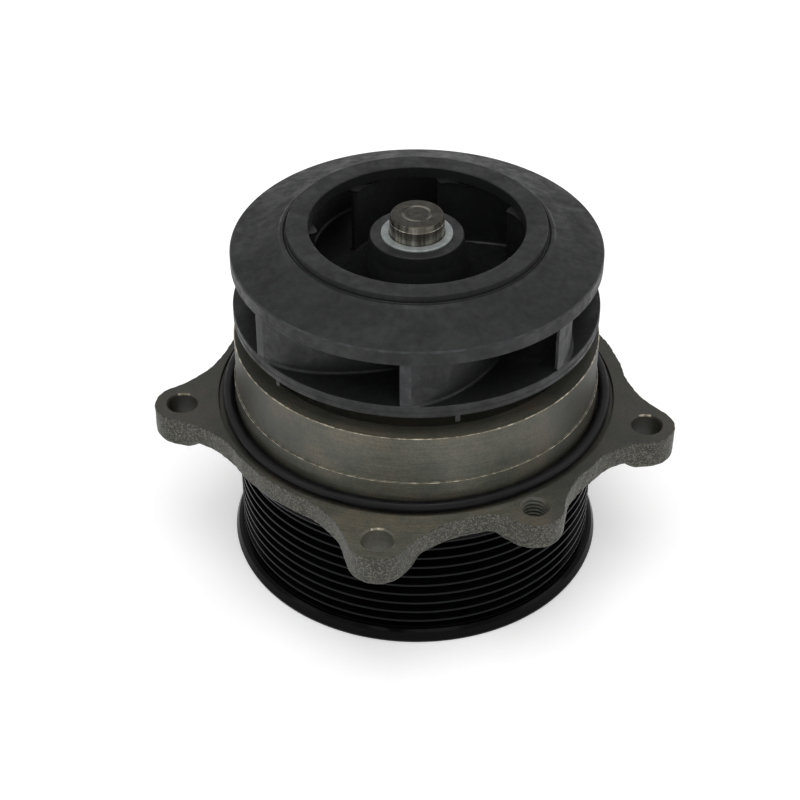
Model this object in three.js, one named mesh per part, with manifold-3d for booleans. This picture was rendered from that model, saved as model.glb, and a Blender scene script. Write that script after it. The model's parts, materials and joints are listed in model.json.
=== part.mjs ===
// Engine coolant pump with a closed plastic impeller, an iron housing and a poly-V belt pulley.
// Millimetres. The shaft lies on Z and Z = 0 is the pulley's free edge, so the impeller eye faces +Z.
// Solids that touch or are pressed together are drawn a little apart, so that none of them overlap.

import * as THREE from 'three';
import { mergeVertices } from 'three/addons/utils/BufferGeometryUtils.js';
import Module from 'manifold-3d';

// ---------------------------------------------------------------------------------------------
// Driving dimensions
// ---------------------------------------------------------------------------------------------

const FIT_GAP = 0.2;
const LARGE_FACETS = 36;
const SMALL_FACETS = 20;

// Shaft and the integral ball-and-roller bearing that turns on it
const SHAFT_R = 7.96;
const SHAFT_BOTTOM = 5;
const SHAFT_TOP = 114.4;
const SHAFT_CHAMFER = 0.5;
const SHAFT_NOSE_HEIGHT = 1.5;
const BEARING_R = 19.05;
const BEARING_BOTTOM = 23;
const BEARING_TOP = 61.9;
const RACE_R = 14.1;
const BEARING_SEAL_DEPTH = 1.8;

const BALL_R = 3.8;
const BALL_COUNT = 8;
const BALL_PITCH_R = 11.47;
const BALL_ROW_Z = 51;
const BALL_GROOVE_R = 4.1;
const BALL_CAGE = { innerR: 12, outerR: 13.6, halfHeight: 4.8 };

const ROLLER_R = 2.85;
const ROLLER_LENGTH = 12;
const ROLLER_COUNT = 10;
const ROLLER_PITCH_R = 10.96;
const ROLLER_ROW_Z = 33.5;
const ROLLER_CAGE = { innerR: 11.6, outerR: 13.3, halfHeight: 7.6 };
const CAGE_CLEARANCE = 0.25;

// Housing
const FLANGE_BOTTOM = 45.6;
const FLANGE_TOP = 52.67;
const FLANGE_BASE = { x: 1.2, y: 0.87, r: 63.4 };
const EAR_PAD_BOTTOM = 43.1;
const LOBE_PAD_BOTTOM = 43.9;
const EAR_R = 8.6;
const EAR_FILLET = 34;
const BOLT_CIRCLE_R = 71;
const BOLT_HOLE_R = 4.5;
const JACK_HOLE_R = 3.4;
const JACK_CIRCLE_R = 65.26;
const HOLE_CHAMFER = 0.7;

const SPIGOT_R = 54.34;
const SPIGOT_LOWER_R = 54.9;
const SPIGOT_TOP = 75.5;
const SPIGOT_STEP = 60;
const SPIGOT_WALL = 7.8;
const O_RING_R = 57.2;
const O_RING_WIRE_R = 1.75;
const O_RING_Z = 53.4;
const GROOVE_R = 60.1;
const GROOVE_FLOOR = 51.4;
const BACK_WALL_TOP = 72;
const BACK_WALL_BOTTOM = 66.5;
const NECK_R = 25.5;
const NECK_BOTTOM = 22;
const RIB_COUNT = 6;
const RIB_WIDTH = 5;
const RIB_BOTTOM = 50;
const WEEP_HOLE_R = 2.5;
const WEEP_HOLE_ANGLE = -136;
const WEEP_HOLE_Z = 63.35;

// Shaft seal
const SEAL_BORE_R = 18.2;
const SEAL_BORE_BOTTOM = 65.5;
const SEAL_BOSS_R = 22.5;
const SEAL_BOSS_TOP = 74;
const LEAK_CHAMBER_R = 14.5;
const SEAL_CASE_WALL = 0.8;
const SEAL_CASE_INNER_R = 10.2;
const SEAL_CASE_FLANGE = 2.6;
const SLINGER = { r: 11.8, sleeveR: 9.4, bottom: 62.9, step: 63.6, top: 64.8 };
const BELLOWS = { innerR: 10.4, outerR: 12.9, bottom: 66.9, top: 73.2, waist: 69.4 };
const CARBON = { innerR: 10, outerR: 15.6, faceR: 12.8, bottom: 73.6, step: 75.2, face: 77 };
const SEAT = { innerR: 9.7, outerR: 14.5, face: 77.3, back: 80.8 };
const SEAT_BOOT = { r: 15, sleeveR: 9.45, bottom: 77.8, shoulder: 81.1, top: 82 };
const SPRING_R = 14.2;
const SPRING_WIRE_R = 0.8;
const SPRING_TURNS = 3;
const SPRING_BOTTOM = 67.8;
const SPRING_TOP = 72.4;

// Impeller
const IMPELLER_R = 53.99;
const SHROUD_TOP = 111.4;
const SHROUD_RIM_TOP = 104.4;
const SHROUD_RIM_BOTTOM = 100.1;
const EYE_R = 31.3;
const EYE_WALL_BOTTOM = 107.6;
const DISC_TOP = 86.2;
const DISC_BOTTOM = 82.4;
const HUB_TOP = 107.9;
const HUB_FLARE = [[34, 0], [26, 1.2], [19.5, 5], [15.8, 11], [14.2, 17]];
const HUB_R = 13.58;
const BUSH_R = 10.5;
const BUSH_TOP = 108.4;
const VANE_COUNT = 7;
const VANE_FIRST_TIP = -146.3;
const VANE_THICKNESS = 1.9;
const VANE_CAMBER = [
  [53.6, 0.5], [51, 9.5], [48, 16.5], [45, 23], [42, 30], [39, 38], [36, 47], [33, 57], [30, 70],
];
const BACK_VANE_COUNT = 6;
const BACK_VANE_ANGLE = -78;
const BACK_VANE_HEIGHT = 2.8;
const BACK_VANE_WIDTH = 1.4;
const BACK_VANE_INNER_R = 24;
const BACK_VANE_OUTER_R = 52.8;

// Pulley
const LIP_R = 57.36;
const CREST_R = 54.65;
const GROOVE_BOTTOM_R = 51.8;
const GROOVE_COUNT = 10;
const GROOVE_PITCH = 3.56;
const FIRST_CREST_Z = 2.81;
const PULLEY_TOP = 41.1;
const RIM_BORE_R = 47.5;
const WEB_BOTTOM = 6.5;
const WEB_TOP = 12;
const PULLEY_HUB_R = 14;
const PULLEY_HUB_BOTTOM = 4.5;
const PULLEY_HUB_TOP = 20.5;

// ---------------------------------------------------------------------------------------------
// Materials
// ---------------------------------------------------------------------------------------------

const finish = (color, roughness, metalness) => ({ color, roughness, metalness });
const CAST_IRON = finish(0x55544b, 0.6, 0.7);
const BLACK_PAINT = finish(0x0b0b0d, 0.3, 0.1);
const GLASS_FILLED_NYLON = finish(0x303132, 0.55, 0);
const GROUND_STEEL = finish(0x77746c, 0.3, 1);
const ZINC_STEEL = finish(0x9ca6a8, 0.35, 1);
const BEARING_STEEL = finish(0xa9abad, 0.2, 1);
const BLACK_RUBBER = finish(0x121214, 0.5, 0);
const BRASS = finish(0xb08d4c, 0.35, 1);
const CARBON_GRAPHITE = finish(0x232326, 0.6, 0);
const CERAMIC = finish(0xe6e1d5, 0.3, 0);
const CAGE_NYLON = finish(0xb9a684, 0.6, 0);

// ---------------------------------------------------------------------------------------------
// Shape helpers
// ---------------------------------------------------------------------------------------------

const wasm = await Module();
wasm.setup();

const radians = (degrees) => THREE.MathUtils.degToRad(degrees);
const polar = (r, degrees) => new THREE.Vector2(r, 0).rotateAround(new THREE.Vector2(), radians(degrees));

// A solid of revolution on Z from a closed outline of [radius, height] points.
function turned(outline, facets = SMALL_FACETS) {
  const points = [...outline, outline[0]].map(([r, z]) => new THREE.Vector2(r, z));
  return new THREE.LatheGeometry(points, facets).rotateX(Math.PI / 2);
}

// A ring of rectangular section.
function ring(innerR, outerR, bottom, top, facets = SMALL_FACETS) {
  return turned([[innerR, bottom], [outerR, bottom], [outerR, top], [innerR, top]], facets);
}

// An upright cylinder or cone between two heights.
function upright(bottomR, topR, bottom, top, facets) {
  const cylinder = new THREE.CylinderGeometry(topR, bottomR, top - bottom, facets).rotateX(Math.PI / 2);
  return cylinder.translate(0, 0, (bottom + top) / 2);
}

// A closed outline pulled up from one height to another.
function prism(shape, bottom, top, curveSegments = 3) {
  const options = { depth: top - bottom, bevelEnabled: false, curveSegments };
  return new THREE.ExtrudeGeometry(shape, options).translate(0, 0, bottom);
}

function signedVolume(position, index) {
  const [a, b, c] = [new THREE.Vector3(), new THREE.Vector3(), new THREE.Vector3()];
  let sum = 0;
  for (let i = 0; i < index.count; i += 3) {
    a.fromBufferAttribute(position, index.getX(i));
    b.fromBufferAttribute(position, index.getX(i + 1));
    c.fromBufferAttribute(position, index.getX(i + 2));
    sum += a.dot(b.cross(c)) / 6;
  }
  return sum;
}

// The same surface with shared vertices and its faces pointing out.
function closed(geometry) {
  const bare = geometry.clone();
  bare.deleteAttribute('normal');
  bare.deleteAttribute('uv');
  const merged = mergeVertices(bare, 1e-4);
  const corners = Array.from(merged.index.array);
  const faces = [];
  for (let i = 0; i < corners.length; i += 3) {
    const [a, b, c] = corners.slice(i, i + 3);
    if (a !== b && b !== c && c !== a) faces.push([a, b, c]);
  }
  merged.setIndex(faces.flat());
  if (signedVolume(merged.attributes.position, merged.index) < 0) {
    merged.setIndex(faces.flatMap(([a, b, c]) => [a, c, b]));
  }
  return merged;
}

function solid(geometry) {
  const { attributes, index } = closed(geometry);
  const vertProperties = new Float32Array(attributes.position.array);
  const triVerts = new Uint32Array(index.array);
  return new wasm.Manifold(new wasm.Mesh({ numProp: 3, vertProperties, triVerts }));
}

function geometryOf(manifold) {
  const { vertProperties, triVerts } = manifold.getMesh();
  const geometry = new THREE.BufferGeometry();
  geometry.setAttribute('position', new THREE.BufferAttribute(new Float32Array(vertProperties), 3));
  geometry.setIndex(Array.from(triVerts));
  return geometry;
}

const joined = (geometries) => geometries.map(solid).reduce((sum, next) => sum.add(next));
const around = (count, make) => Array.from({ length: count }, (_, i) => make(i, (360 * i) / count));

const pump = new THREE.Group();

function addPiece(name, geometry, material) {
  const mesh = new THREE.Mesh(closed(geometry), new THREE.MeshStandardMaterial(material));
  mesh.name = name;
  pump.add(mesh);
  return mesh;
}

// ---------------------------------------------------------------------------------------------
// Housing: a cast flange with five bolt ears and one tapped lobe, the turned spigot that closes
// the pump chamber, and the neck that holds the bearing
// ---------------------------------------------------------------------------------------------

const ear = (angle) => ({
  centre: polar(BOLT_CIRCLE_R, angle),
  before: EAR_FILLET,
  after: EAR_FILLET,
  holeR: BOLT_HOLE_R,
  padBottom: EAR_PAD_BOTTOM,
});
const tappedLobe = {
  centre: polar(JACK_CIRCLE_R, -59.5),
  before: 8.7,
  after: 30,
  holeR: JACK_HOLE_R,
  padBottom: LOBE_PAD_BOTTOM,
};
const BOSSES = [ear(-173.2), ear(-99), tappedLobe, { ...ear(-15.5), before: 22.6 }, ear(48), ear(105)];

// The centre of the concave fillet that touches the base circle and one side of a boss.
function filletCentre(boss, filletR, side) {
  const base = new THREE.Vector2(FLANGE_BASE.x, FLANGE_BASE.y);
  const along = boss.centre.clone().sub(base);
  const distance = along.length();
  const reach = FLANGE_BASE.r + filletR;
  const forward = (reach ** 2 - (EAR_R + filletR) ** 2 + distance ** 2) / (2 * distance);
  const sideways = side * Math.sqrt(reach ** 2 - forward ** 2);
  along.normalize();
  const across = new THREE.Vector2(-along.y, along.x);
  return base.addScaledVector(along, forward).addScaledVector(across, sideways);
}

const heading = (from, to) => Math.atan2(to.y - from.y, to.x - from.x);

function flangeOutline() {
  const outline = new THREE.Shape();
  const base = new THREE.Vector2(FLANGE_BASE.x, FLANGE_BASE.y);
  const corners = BOSSES.map((boss) => ({
    boss,
    inlet: filletCentre(boss, boss.before, -1),
    outlet: filletCentre(boss, boss.after, 1),
  }));
  corners.forEach(({ boss, inlet, outlet }, i) => {
    const last = corners.at(i - 1);
    outline.absarc(base.x, base.y, FLANGE_BASE.r, heading(base, last.outlet), heading(base, inlet), false);
    outline.absarc(inlet.x, inlet.y, boss.before, heading(inlet, base), heading(inlet, boss.centre), true);
    const { x, y } = boss.centre;
    outline.absarc(x, y, EAR_R, heading(boss.centre, inlet), heading(boss.centre, outlet), false);
    outline.absarc(outlet.x, outlet.y, boss.after, heading(outlet, boss.centre), heading(outlet, base), true);
  });
  return outline;
}

function makeHousing() {
  const bearingBoreR = BEARING_R + FIT_GAP;
  const bearingShoulder = BEARING_TOP + 0.3;
  const spigotBoreR = SPIGOT_R - SPIGOT_WALL;
  const plateBoreR = GROOVE_R + 0.4;
  const body = turned([
    [bearingBoreR, NECK_BOTTOM],
    [NECK_R - 1, NECK_BOTTOM],
    [NECK_R, NECK_BOTTOM + 1.5],
    [NECK_R + 1, BACK_WALL_BOTTOM],
    [spigotBoreR - 0.5, BACK_WALL_BOTTOM],
    [spigotBoreR, FLANGE_BOTTOM],
    [plateBoreR + 0.5, FLANGE_BOTTOM],
    [plateBoreR + 0.5, FLANGE_TOP],
    [GROOVE_R, FLANGE_TOP],
    [GROOVE_R, GROOVE_FLOOR],
    [SPIGOT_LOWER_R, GROOVE_FLOOR],
    [SPIGOT_LOWER_R, SPIGOT_STEP],
    [SPIGOT_R, SPIGOT_STEP],
    [SPIGOT_R, SPIGOT_TOP - 0.5],
    [SPIGOT_R - 0.5, SPIGOT_TOP],
    [spigotBoreR + 2, SPIGOT_TOP],
    [spigotBoreR + 1, BACK_WALL_TOP],
    [SEAL_BOSS_R, BACK_WALL_TOP],
    [SEAL_BOSS_R, SEAL_BOSS_TOP],
    [SEAL_BORE_R, SEAL_BOSS_TOP],
    [SEAL_BORE_R, SEAL_BORE_BOTTOM],
    [LEAK_CHAMBER_R, SEAL_BORE_BOTTOM],
    [LEAK_CHAMBER_R, bearingShoulder],
    [bearingBoreR, bearingShoulder],
  ], LARGE_FACETS);

  const plate = flangeOutline();
  plate.holes.push(new THREE.Path(around(LARGE_FACETS, (i, angle) => polar(plateBoreR, -angle))));
  const pads = BOSSES.map(({ centre, padBottom }) =>
    upright(EAR_R - 0.6, EAR_R - 0.1, padBottom, FLANGE_BOTTOM + 1, 16)
      .translate(centre.x, centre.y, 0));
  const ribSpan = spigotBoreR - NECK_R;
  const ribHeight = BACK_WALL_BOTTOM + 1 - RIB_BOTTOM;
  const ribs = around(RIB_COUNT, (i, angle) =>
    new THREE.BoxGeometry(ribSpan, RIB_WIDTH, ribHeight)
      .translate(NECK_R + ribSpan / 2, 0, RIB_BOTTOM + ribHeight / 2)
      .rotateZ(radians(angle)));

  const holes = BOSSES.flatMap(({ centre, holeR, padBottom }) => [
    upright(holeR, holeR, padBottom - 1, FLANGE_TOP + 1, 16).translate(centre.x, centre.y, 0),
    upright(holeR - 0.1, holeR + HOLE_CHAMFER + 0.4, FLANGE_TOP - HOLE_CHAMFER, FLANGE_TOP + 0.4, 16)
      .translate(centre.x, centre.y, 0),
  ]);
  const weepHole = new THREE.CylinderGeometry(WEEP_HOLE_R, WEEP_HOLE_R, NECK_R, 10)
    .rotateZ(-Math.PI / 2)
    .translate(LEAK_CHAMBER_R - 1 + NECK_R / 2, 0, WEEP_HOLE_Z)
    .rotateZ(radians(WEEP_HOLE_ANGLE));

  const casting = joined([body, prism(plate, FLANGE_BOTTOM, FLANGE_TOP), ...pads, ...ribs]);
  return geometryOf(casting.subtract(joined([...holes, weepHole])));
}

addPiece('pump_housing', makeHousing(), CAST_IRON);
addPiece(
  'housing_o_ring',
  new THREE.TorusGeometry(O_RING_R, O_RING_WIRE_R, 6, LARGE_FACETS).translate(0, 0, O_RING_Z),
  BLACK_RUBBER,
);

// ---------------------------------------------------------------------------------------------
// Shaft bearing: the shaft is the inner race of a ball row and of a roller row
// ---------------------------------------------------------------------------------------------

// A ball groove's arc from its lower to its upper edge, as [radius, height] points, in a wall at wallR.
// The sign is 1 where the groove opens inwards, as in the outer ring, and -1 on the shaft.
function ballGroove(wallR, sign) {
  const reach = Math.abs(wallR - BALL_PITCH_R);
  const halfAngle = Math.acos(reach / BALL_GROOVE_R);
  const steps = 4;
  return Array.from({ length: steps + 1 }, (_, i) => {
    const angle = -halfAngle + (2 * halfAngle * i) / steps;
    const r = BALL_PITCH_R + sign * BALL_GROOVE_R * Math.cos(angle);
    return [r, BALL_ROW_Z + BALL_GROOVE_R * Math.sin(angle)];
  });
}

addPiece('bearing_outer_ring', turned([
  [RACE_R, BEARING_BOTTOM],
  [BEARING_R - 0.6, BEARING_BOTTOM],
  [BEARING_R, BEARING_BOTTOM + 0.6],
  [BEARING_R, BEARING_TOP - 0.6],
  [BEARING_R - 0.6, BEARING_TOP],
  [RACE_R, BEARING_TOP],
  ...ballGroove(RACE_R, 1).reverse(),
], LARGE_FACETS), BEARING_STEEL);

const shaftNoseR = SHAFT_R - SHAFT_CHAMFER;
addPiece('shaft', turned([
  [0, SHAFT_BOTTOM],
  [shaftNoseR, SHAFT_BOTTOM],
  [SHAFT_R, SHAFT_BOTTOM + SHAFT_CHAMFER],
  ...ballGroove(SHAFT_R, -1),
  [SHAFT_R, SHAFT_TOP - SHAFT_NOSE_HEIGHT],
  [shaftNoseR, SHAFT_TOP],
  [0, SHAFT_TOP],
]), GROUND_STEEL);

// A lip seal: a flat washer whose lip leans on the shaft.
function bearingSeal(bottom, lipSide) {
  const top = bottom + BEARING_SEAL_DEPTH;
  const lipInner = SHAFT_R + FIT_GAP;
  const rimOuter = RACE_R - FIT_GAP;
  const lip = lipSide > 0 ? bottom : top;
  const back = lipSide > 0 ? top : bottom;
  const web = lip + 0.45 * (back - lip);
  return turned([[lipInner, lip], [rimOuter, lip], [rimOuter, back], [rimOuter - 1, back],
    [rimOuter - 1, web], [lipInner + 1, web], [lipInner, back]]);
}
addPiece('bearing_seal_pulley_end', bearingSeal(BEARING_BOTTOM + 0.3, 1), BLACK_RUBBER);
addPiece('bearing_seal_pump_end', bearingSeal(BEARING_TOP - 0.3 - BEARING_SEAL_DEPTH, -1), BLACK_RUBBER);

// A cage is a sleeve with one pocket for each rolling piece.
function cage({ innerR, outerR, halfHeight }, rowZ, pockets) {
  const sleeve = solid(ring(innerR, outerR, rowZ - halfHeight, rowZ + halfHeight));
  return geometryOf(sleeve.subtract(joined(pockets)));
}

const ballShape = (r) =>
  new THREE.SphereGeometry(r, 8, 6).rotateX(Math.PI / 2).translate(BALL_PITCH_R, 0, BALL_ROW_Z);
const ballPocket = (i, angle) => ballShape(BALL_R + CAGE_CLEARANCE).rotateZ(radians(angle));
addPiece('ball_cage', cage(BALL_CAGE, BALL_ROW_Z, around(BALL_COUNT, ballPocket)), CAGE_NYLON);
around(BALL_COUNT, (i, angle) => {
  addPiece(`bearing_ball_${i + 1}`, ballShape(BALL_R), BEARING_STEEL).rotation.z = radians(angle);
});

function rollerShape(r, length) {
  return upright(r, r, ROLLER_ROW_Z - length / 2, ROLLER_ROW_Z + length / 2, 12)
    .translate(ROLLER_PITCH_R, 0, 0);
}
const rollerPocket = (i, angle) =>
  rollerShape(ROLLER_R + CAGE_CLEARANCE, ROLLER_LENGTH + 2 * CAGE_CLEARANCE).rotateZ(radians(angle));
addPiece('roller_cage', cage(ROLLER_CAGE, ROLLER_ROW_Z, around(ROLLER_COUNT, rollerPocket)), CAGE_NYLON);
around(ROLLER_COUNT, (i, angle) => {
  const roller = addPiece(`bearing_roller_${i + 1}`, rollerShape(ROLLER_R, ROLLER_LENGTH), BEARING_STEEL);
  roller.rotation.z = radians(angle);
});

// ---------------------------------------------------------------------------------------------
// Shaft seal: a sprung carbon ring in a pressed case runs on a ceramic seat that turns
// ---------------------------------------------------------------------------------------------

const onShaftR = SHAFT_R + FIT_GAP;
const caseR = SEAL_BORE_R - FIT_GAP;
const caseBottom = SEAL_BORE_BOTTOM + 0.3;
const caseFlangeBottom = SEAL_BOSS_TOP + 0.3;

addPiece('water_slinger', turned([
  [onShaftR, SLINGER.bottom],
  [SLINGER.r, SLINGER.bottom],
  [SLINGER.r, SLINGER.step],
  [SLINGER.sleeveR, SLINGER.step],
  [SLINGER.sleeveR, SLINGER.top],
  [onShaftR, SLINGER.top],
]), BLACK_RUBBER);

addPiece('seal_case', turned([
  [SEAL_CASE_INNER_R, caseBottom],
  [caseR, caseBottom],
  [caseR, caseFlangeBottom],
  [caseR + SEAL_CASE_FLANGE, caseFlangeBottom],
  [caseR + SEAL_CASE_FLANGE, caseFlangeBottom + SEAL_CASE_WALL],
  [caseR - SEAL_CASE_WALL, caseFlangeBottom + SEAL_CASE_WALL],
  [caseR - SEAL_CASE_WALL, caseBottom + SEAL_CASE_WALL],
  [SEAL_CASE_INNER_R, caseBottom + SEAL_CASE_WALL],
], LARGE_FACETS), BRASS);

// Two straight cuffs with one fold between them, which the spring pushes apart.
addPiece('seal_bellows', turned([
  [BELLOWS.innerR, BELLOWS.bottom],
  [BELLOWS.outerR, BELLOWS.bottom],
  [BELLOWS.outerR, BELLOWS.waist - 1.2],
  [BELLOWS.outerR - 1, BELLOWS.waist],
  [BELLOWS.outerR, BELLOWS.waist + 1.4],
  [BELLOWS.outerR, BELLOWS.top],
  [BELLOWS.innerR, BELLOWS.top],
  [BELLOWS.innerR, BELLOWS.waist + 1.4],
  [BELLOWS.innerR + 0.5, BELLOWS.waist],
  [BELLOWS.innerR, BELLOWS.waist - 1.2],
]), BLACK_RUBBER);

class Helix extends THREE.Curve {
  getPoint(t, target = new THREE.Vector3()) {
    const angle = 2 * Math.PI * SPRING_TURNS * t;
    const height = THREE.MathUtils.lerp(SPRING_BOTTOM, SPRING_TOP, t);
    return target.set(SPRING_R * Math.cos(angle), SPRING_R * Math.sin(angle), height);
  }
}
const wire = new THREE.Shape().absarc(0, 0, SPRING_WIRE_R, 0, 2 * Math.PI, false);
addPiece('seal_spring', new THREE.ExtrudeGeometry(wire, {
  steps: 12 * SPRING_TURNS,
  extrudePath: new Helix(),
  curveSegments: 3,
}), GROUND_STEEL);

addPiece('seal_carbon_ring', turned([
  [CARBON.innerR, CARBON.bottom],
  [CARBON.outerR, CARBON.bottom],
  [CARBON.outerR, CARBON.step],
  [CARBON.faceR, CARBON.step],
  [CARBON.faceR, CARBON.face],
  [CARBON.innerR, CARBON.face],
]), CARBON_GRAPHITE);
addPiece('seal_seat', ring(SEAT.innerR, SEAT.outerR, SEAT.face, SEAT.back), CERAMIC);
addPiece('seal_seat_boot', turned([
  [onShaftR, SEAT_BOOT.bottom],
  [SEAT_BOOT.sleeveR, SEAT_BOOT.bottom],
  [SEAT_BOOT.sleeveR, SEAT_BOOT.shoulder],
  [SEAT_BOOT.r, SEAT_BOOT.shoulder],
  [SEAT_BOOT.r, SEAT_BOOT.top],
  [onShaftR, SEAT_BOOT.top],
]), BLACK_RUBBER);

// ---------------------------------------------------------------------------------------------
// Impeller: a rear disc moulded with its hub and vanes over a steel bush, and a welded shroud
// ---------------------------------------------------------------------------------------------

const shroudUnderside = [[EYE_R, EYE_WALL_BOTTOM], [EYE_R + 2, EYE_WALL_BOTTOM - 0.9]];

addPiece('impeller_front_shroud', turned([
  ...shroudUnderside,
  [IMPELLER_R - 0.3, SHROUD_RIM_BOTTOM],
  [IMPELLER_R, SHROUD_RIM_BOTTOM + 0.3],
  [IMPELLER_R, SHROUD_RIM_TOP - 0.3],
  [IMPELLER_R - 0.3, SHROUD_RIM_TOP],
  [39.6, 109.1],
  [38.4, 109.4],
  [37.5, SHROUD_TOP],
  [EYE_R + 0.5, SHROUD_TOP],
  [EYE_R, SHROUD_TOP - 0.5],
], LARGE_FACETS), GLASS_FILLED_NYLON);

// One vane seen from above: its camber line, thickened to each side.
function vaneOutline() {
  const camber = VANE_CAMBER.map(([r, angle]) => polar(r, angle));
  const side = (sign) => camber.map((point, i) => {
    const before = camber[Math.max(i - 1, 0)];
    const after = camber[Math.min(i + 1, camber.length - 1)];
    const along = after.clone().sub(before).normalize();
    return new THREE.Vector2(-along.y, along.x).multiplyScalar((sign * VANE_THICKNESS) / 2).add(point);
  });
  return new THREE.Shape([...side(1), ...side(-1).reverse()]);
}

function makeRearDisc() {
  const disc = turned([
    [BUSH_R + FIT_GAP, DISC_BOTTOM],
    [IMPELLER_R - 0.3, DISC_BOTTOM],
    [IMPELLER_R, DISC_BOTTOM + 0.3],
    [IMPELLER_R, DISC_TOP - 0.3],
    [IMPELLER_R - 0.3, DISC_TOP],
    ...HUB_FLARE.map(([r, rise]) => [r, DISC_TOP + rise]),
    [HUB_R, HUB_TOP],
    [BUSH_R + FIT_GAP, HUB_TOP],
  ], LARGE_FACETS);
  const vanes = around(VANE_COUNT, (i, angle) =>
    prism(vaneOutline(), DISC_TOP - 1, SHROUD_TOP).rotateZ(radians(angle + VANE_FIRST_TIP)));
  const vaneRoom = solid(turned([
    [20, DISC_BOTTOM + 1],
    [IMPELLER_R - 0.1, DISC_BOTTOM + 1],
    [IMPELLER_R - 0.1, SHROUD_RIM_BOTTOM - 0.3],
    ...[...shroudUnderside].reverse().map(([r, z]) => [r, z - 0.3]),
    [20, EYE_WALL_BOTTOM - 0.3],
  ], LARGE_FACETS));
  const backVanes = around(BACK_VANE_COUNT, (i, angle) =>
    new THREE.BoxGeometry(BACK_VANE_OUTER_R - BACK_VANE_INNER_R, BACK_VANE_WIDTH, BACK_VANE_HEIGHT + 1)
      .translate((BACK_VANE_OUTER_R + BACK_VANE_INNER_R) / 2, 0, DISC_BOTTOM + (1 - BACK_VANE_HEIGHT) / 2)
      .rotateZ(radians(angle + BACK_VANE_ANGLE)));
  const moulding = joined(vanes).intersect(vaneRoom).add(joined([disc, ...backVanes]));
  return geometryOf(moulding);
}

addPiece('impeller_rear_disc', makeRearDisc(), GLASS_FILLED_NYLON);
addPiece('impeller_bush', turned([
  [onShaftR, DISC_BOTTOM + 0.3],
  [BUSH_R, DISC_BOTTOM + 0.3],
  [BUSH_R, BUSH_TOP - 0.4],
  [BUSH_R - 0.4, BUSH_TOP],
  [onShaftR, BUSH_TOP],
], LARGE_FACETS), ZINC_STEEL);

// ---------------------------------------------------------------------------------------------
// Pulley: rim with V grooves and two lips, web and hub turned in one piece
// ---------------------------------------------------------------------------------------------

function pulleyOutline() {
  const grooves = Array.from({ length: GROOVE_COUNT }, (_, i) => {
    const crest = FIRST_CREST_Z + GROOVE_PITCH * (i + 1);
    return [[GROOVE_BOTTOM_R, crest - GROOVE_PITCH / 2], [CREST_R, crest]];
  }).flat().slice(0, -1);
  return [
    [onShaftR, PULLEY_HUB_BOTTOM],
    [PULLEY_HUB_R - 1, PULLEY_HUB_BOTTOM],
    [PULLEY_HUB_R + 1, WEB_BOTTOM],
    [RIM_BORE_R - 4, WEB_BOTTOM],
    [RIM_BORE_R + 3, 0],
    [LIP_R - 0.3, 0],
    [LIP_R, 1.2],
    [LIP_R - 1.4, 3.8],
    ...grooves,
    [LIP_R - 1.4, PULLEY_TOP - 3.4],
    [LIP_R, PULLEY_TOP - 1],
    [LIP_R - 0.3, PULLEY_TOP],
    [RIM_BORE_R + 1, PULLEY_TOP],
    [RIM_BORE_R, PULLEY_TOP - 1],
    [RIM_BORE_R, WEB_TOP + 2],
    [RIM_BORE_R - 2, WEB_TOP],
    [PULLEY_HUB_R + 2, WEB_TOP],
    [PULLEY_HUB_R, WEB_TOP + 2],
    [PULLEY_HUB_R, PULLEY_HUB_TOP],
    [onShaftR, PULLEY_HUB_TOP],
  ];
}

addPiece('pulley', turned(pulleyOutline(), LARGE_FACETS), BLACK_PAINT);

export default pump;
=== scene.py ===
# A coolant pump standing on the free edge of its belt pulley, with its impeller eye upwards.
# Lengths are in millimetres and heights are above the pulley's free edge; MM turns them to metres. Only
# the camera and the studio are placed in metres.

import json
import math

import bmesh
import bpy
import numpy as np
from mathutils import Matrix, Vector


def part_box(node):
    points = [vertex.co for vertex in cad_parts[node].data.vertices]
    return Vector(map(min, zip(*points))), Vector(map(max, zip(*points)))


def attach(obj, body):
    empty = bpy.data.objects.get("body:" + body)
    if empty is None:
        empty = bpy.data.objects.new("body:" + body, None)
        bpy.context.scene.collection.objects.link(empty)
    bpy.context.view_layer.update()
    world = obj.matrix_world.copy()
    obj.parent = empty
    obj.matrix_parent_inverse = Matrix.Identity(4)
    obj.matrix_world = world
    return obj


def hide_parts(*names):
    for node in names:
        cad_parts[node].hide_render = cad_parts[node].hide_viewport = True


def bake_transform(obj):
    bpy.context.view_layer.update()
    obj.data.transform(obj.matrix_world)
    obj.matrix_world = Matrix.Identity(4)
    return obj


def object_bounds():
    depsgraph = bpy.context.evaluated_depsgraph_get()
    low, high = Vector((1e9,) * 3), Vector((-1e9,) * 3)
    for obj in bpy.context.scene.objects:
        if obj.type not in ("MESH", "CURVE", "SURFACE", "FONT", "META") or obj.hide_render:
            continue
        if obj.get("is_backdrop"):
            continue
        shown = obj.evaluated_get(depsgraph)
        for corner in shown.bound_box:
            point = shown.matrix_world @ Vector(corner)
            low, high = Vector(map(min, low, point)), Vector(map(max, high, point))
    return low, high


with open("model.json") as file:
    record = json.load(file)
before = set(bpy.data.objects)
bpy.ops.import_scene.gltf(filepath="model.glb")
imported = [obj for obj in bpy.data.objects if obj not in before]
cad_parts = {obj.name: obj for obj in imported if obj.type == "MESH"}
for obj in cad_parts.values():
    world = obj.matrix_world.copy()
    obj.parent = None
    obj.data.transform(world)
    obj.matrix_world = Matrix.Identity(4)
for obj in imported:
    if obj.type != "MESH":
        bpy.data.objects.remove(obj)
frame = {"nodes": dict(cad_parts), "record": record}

MM = 0.001
cad_low, cad_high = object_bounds()
scene = bpy.context.scene


# ---- Camera --------------------------------------------------
# A long lens in front of the pump, looking down on it at 37.6 degrees.

CAMERA_TILT, CAMERA_LENS = 52.44, 83.46
CAMERA_PLACE = (-0.00487, -0.45170, 0.39464)

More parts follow.
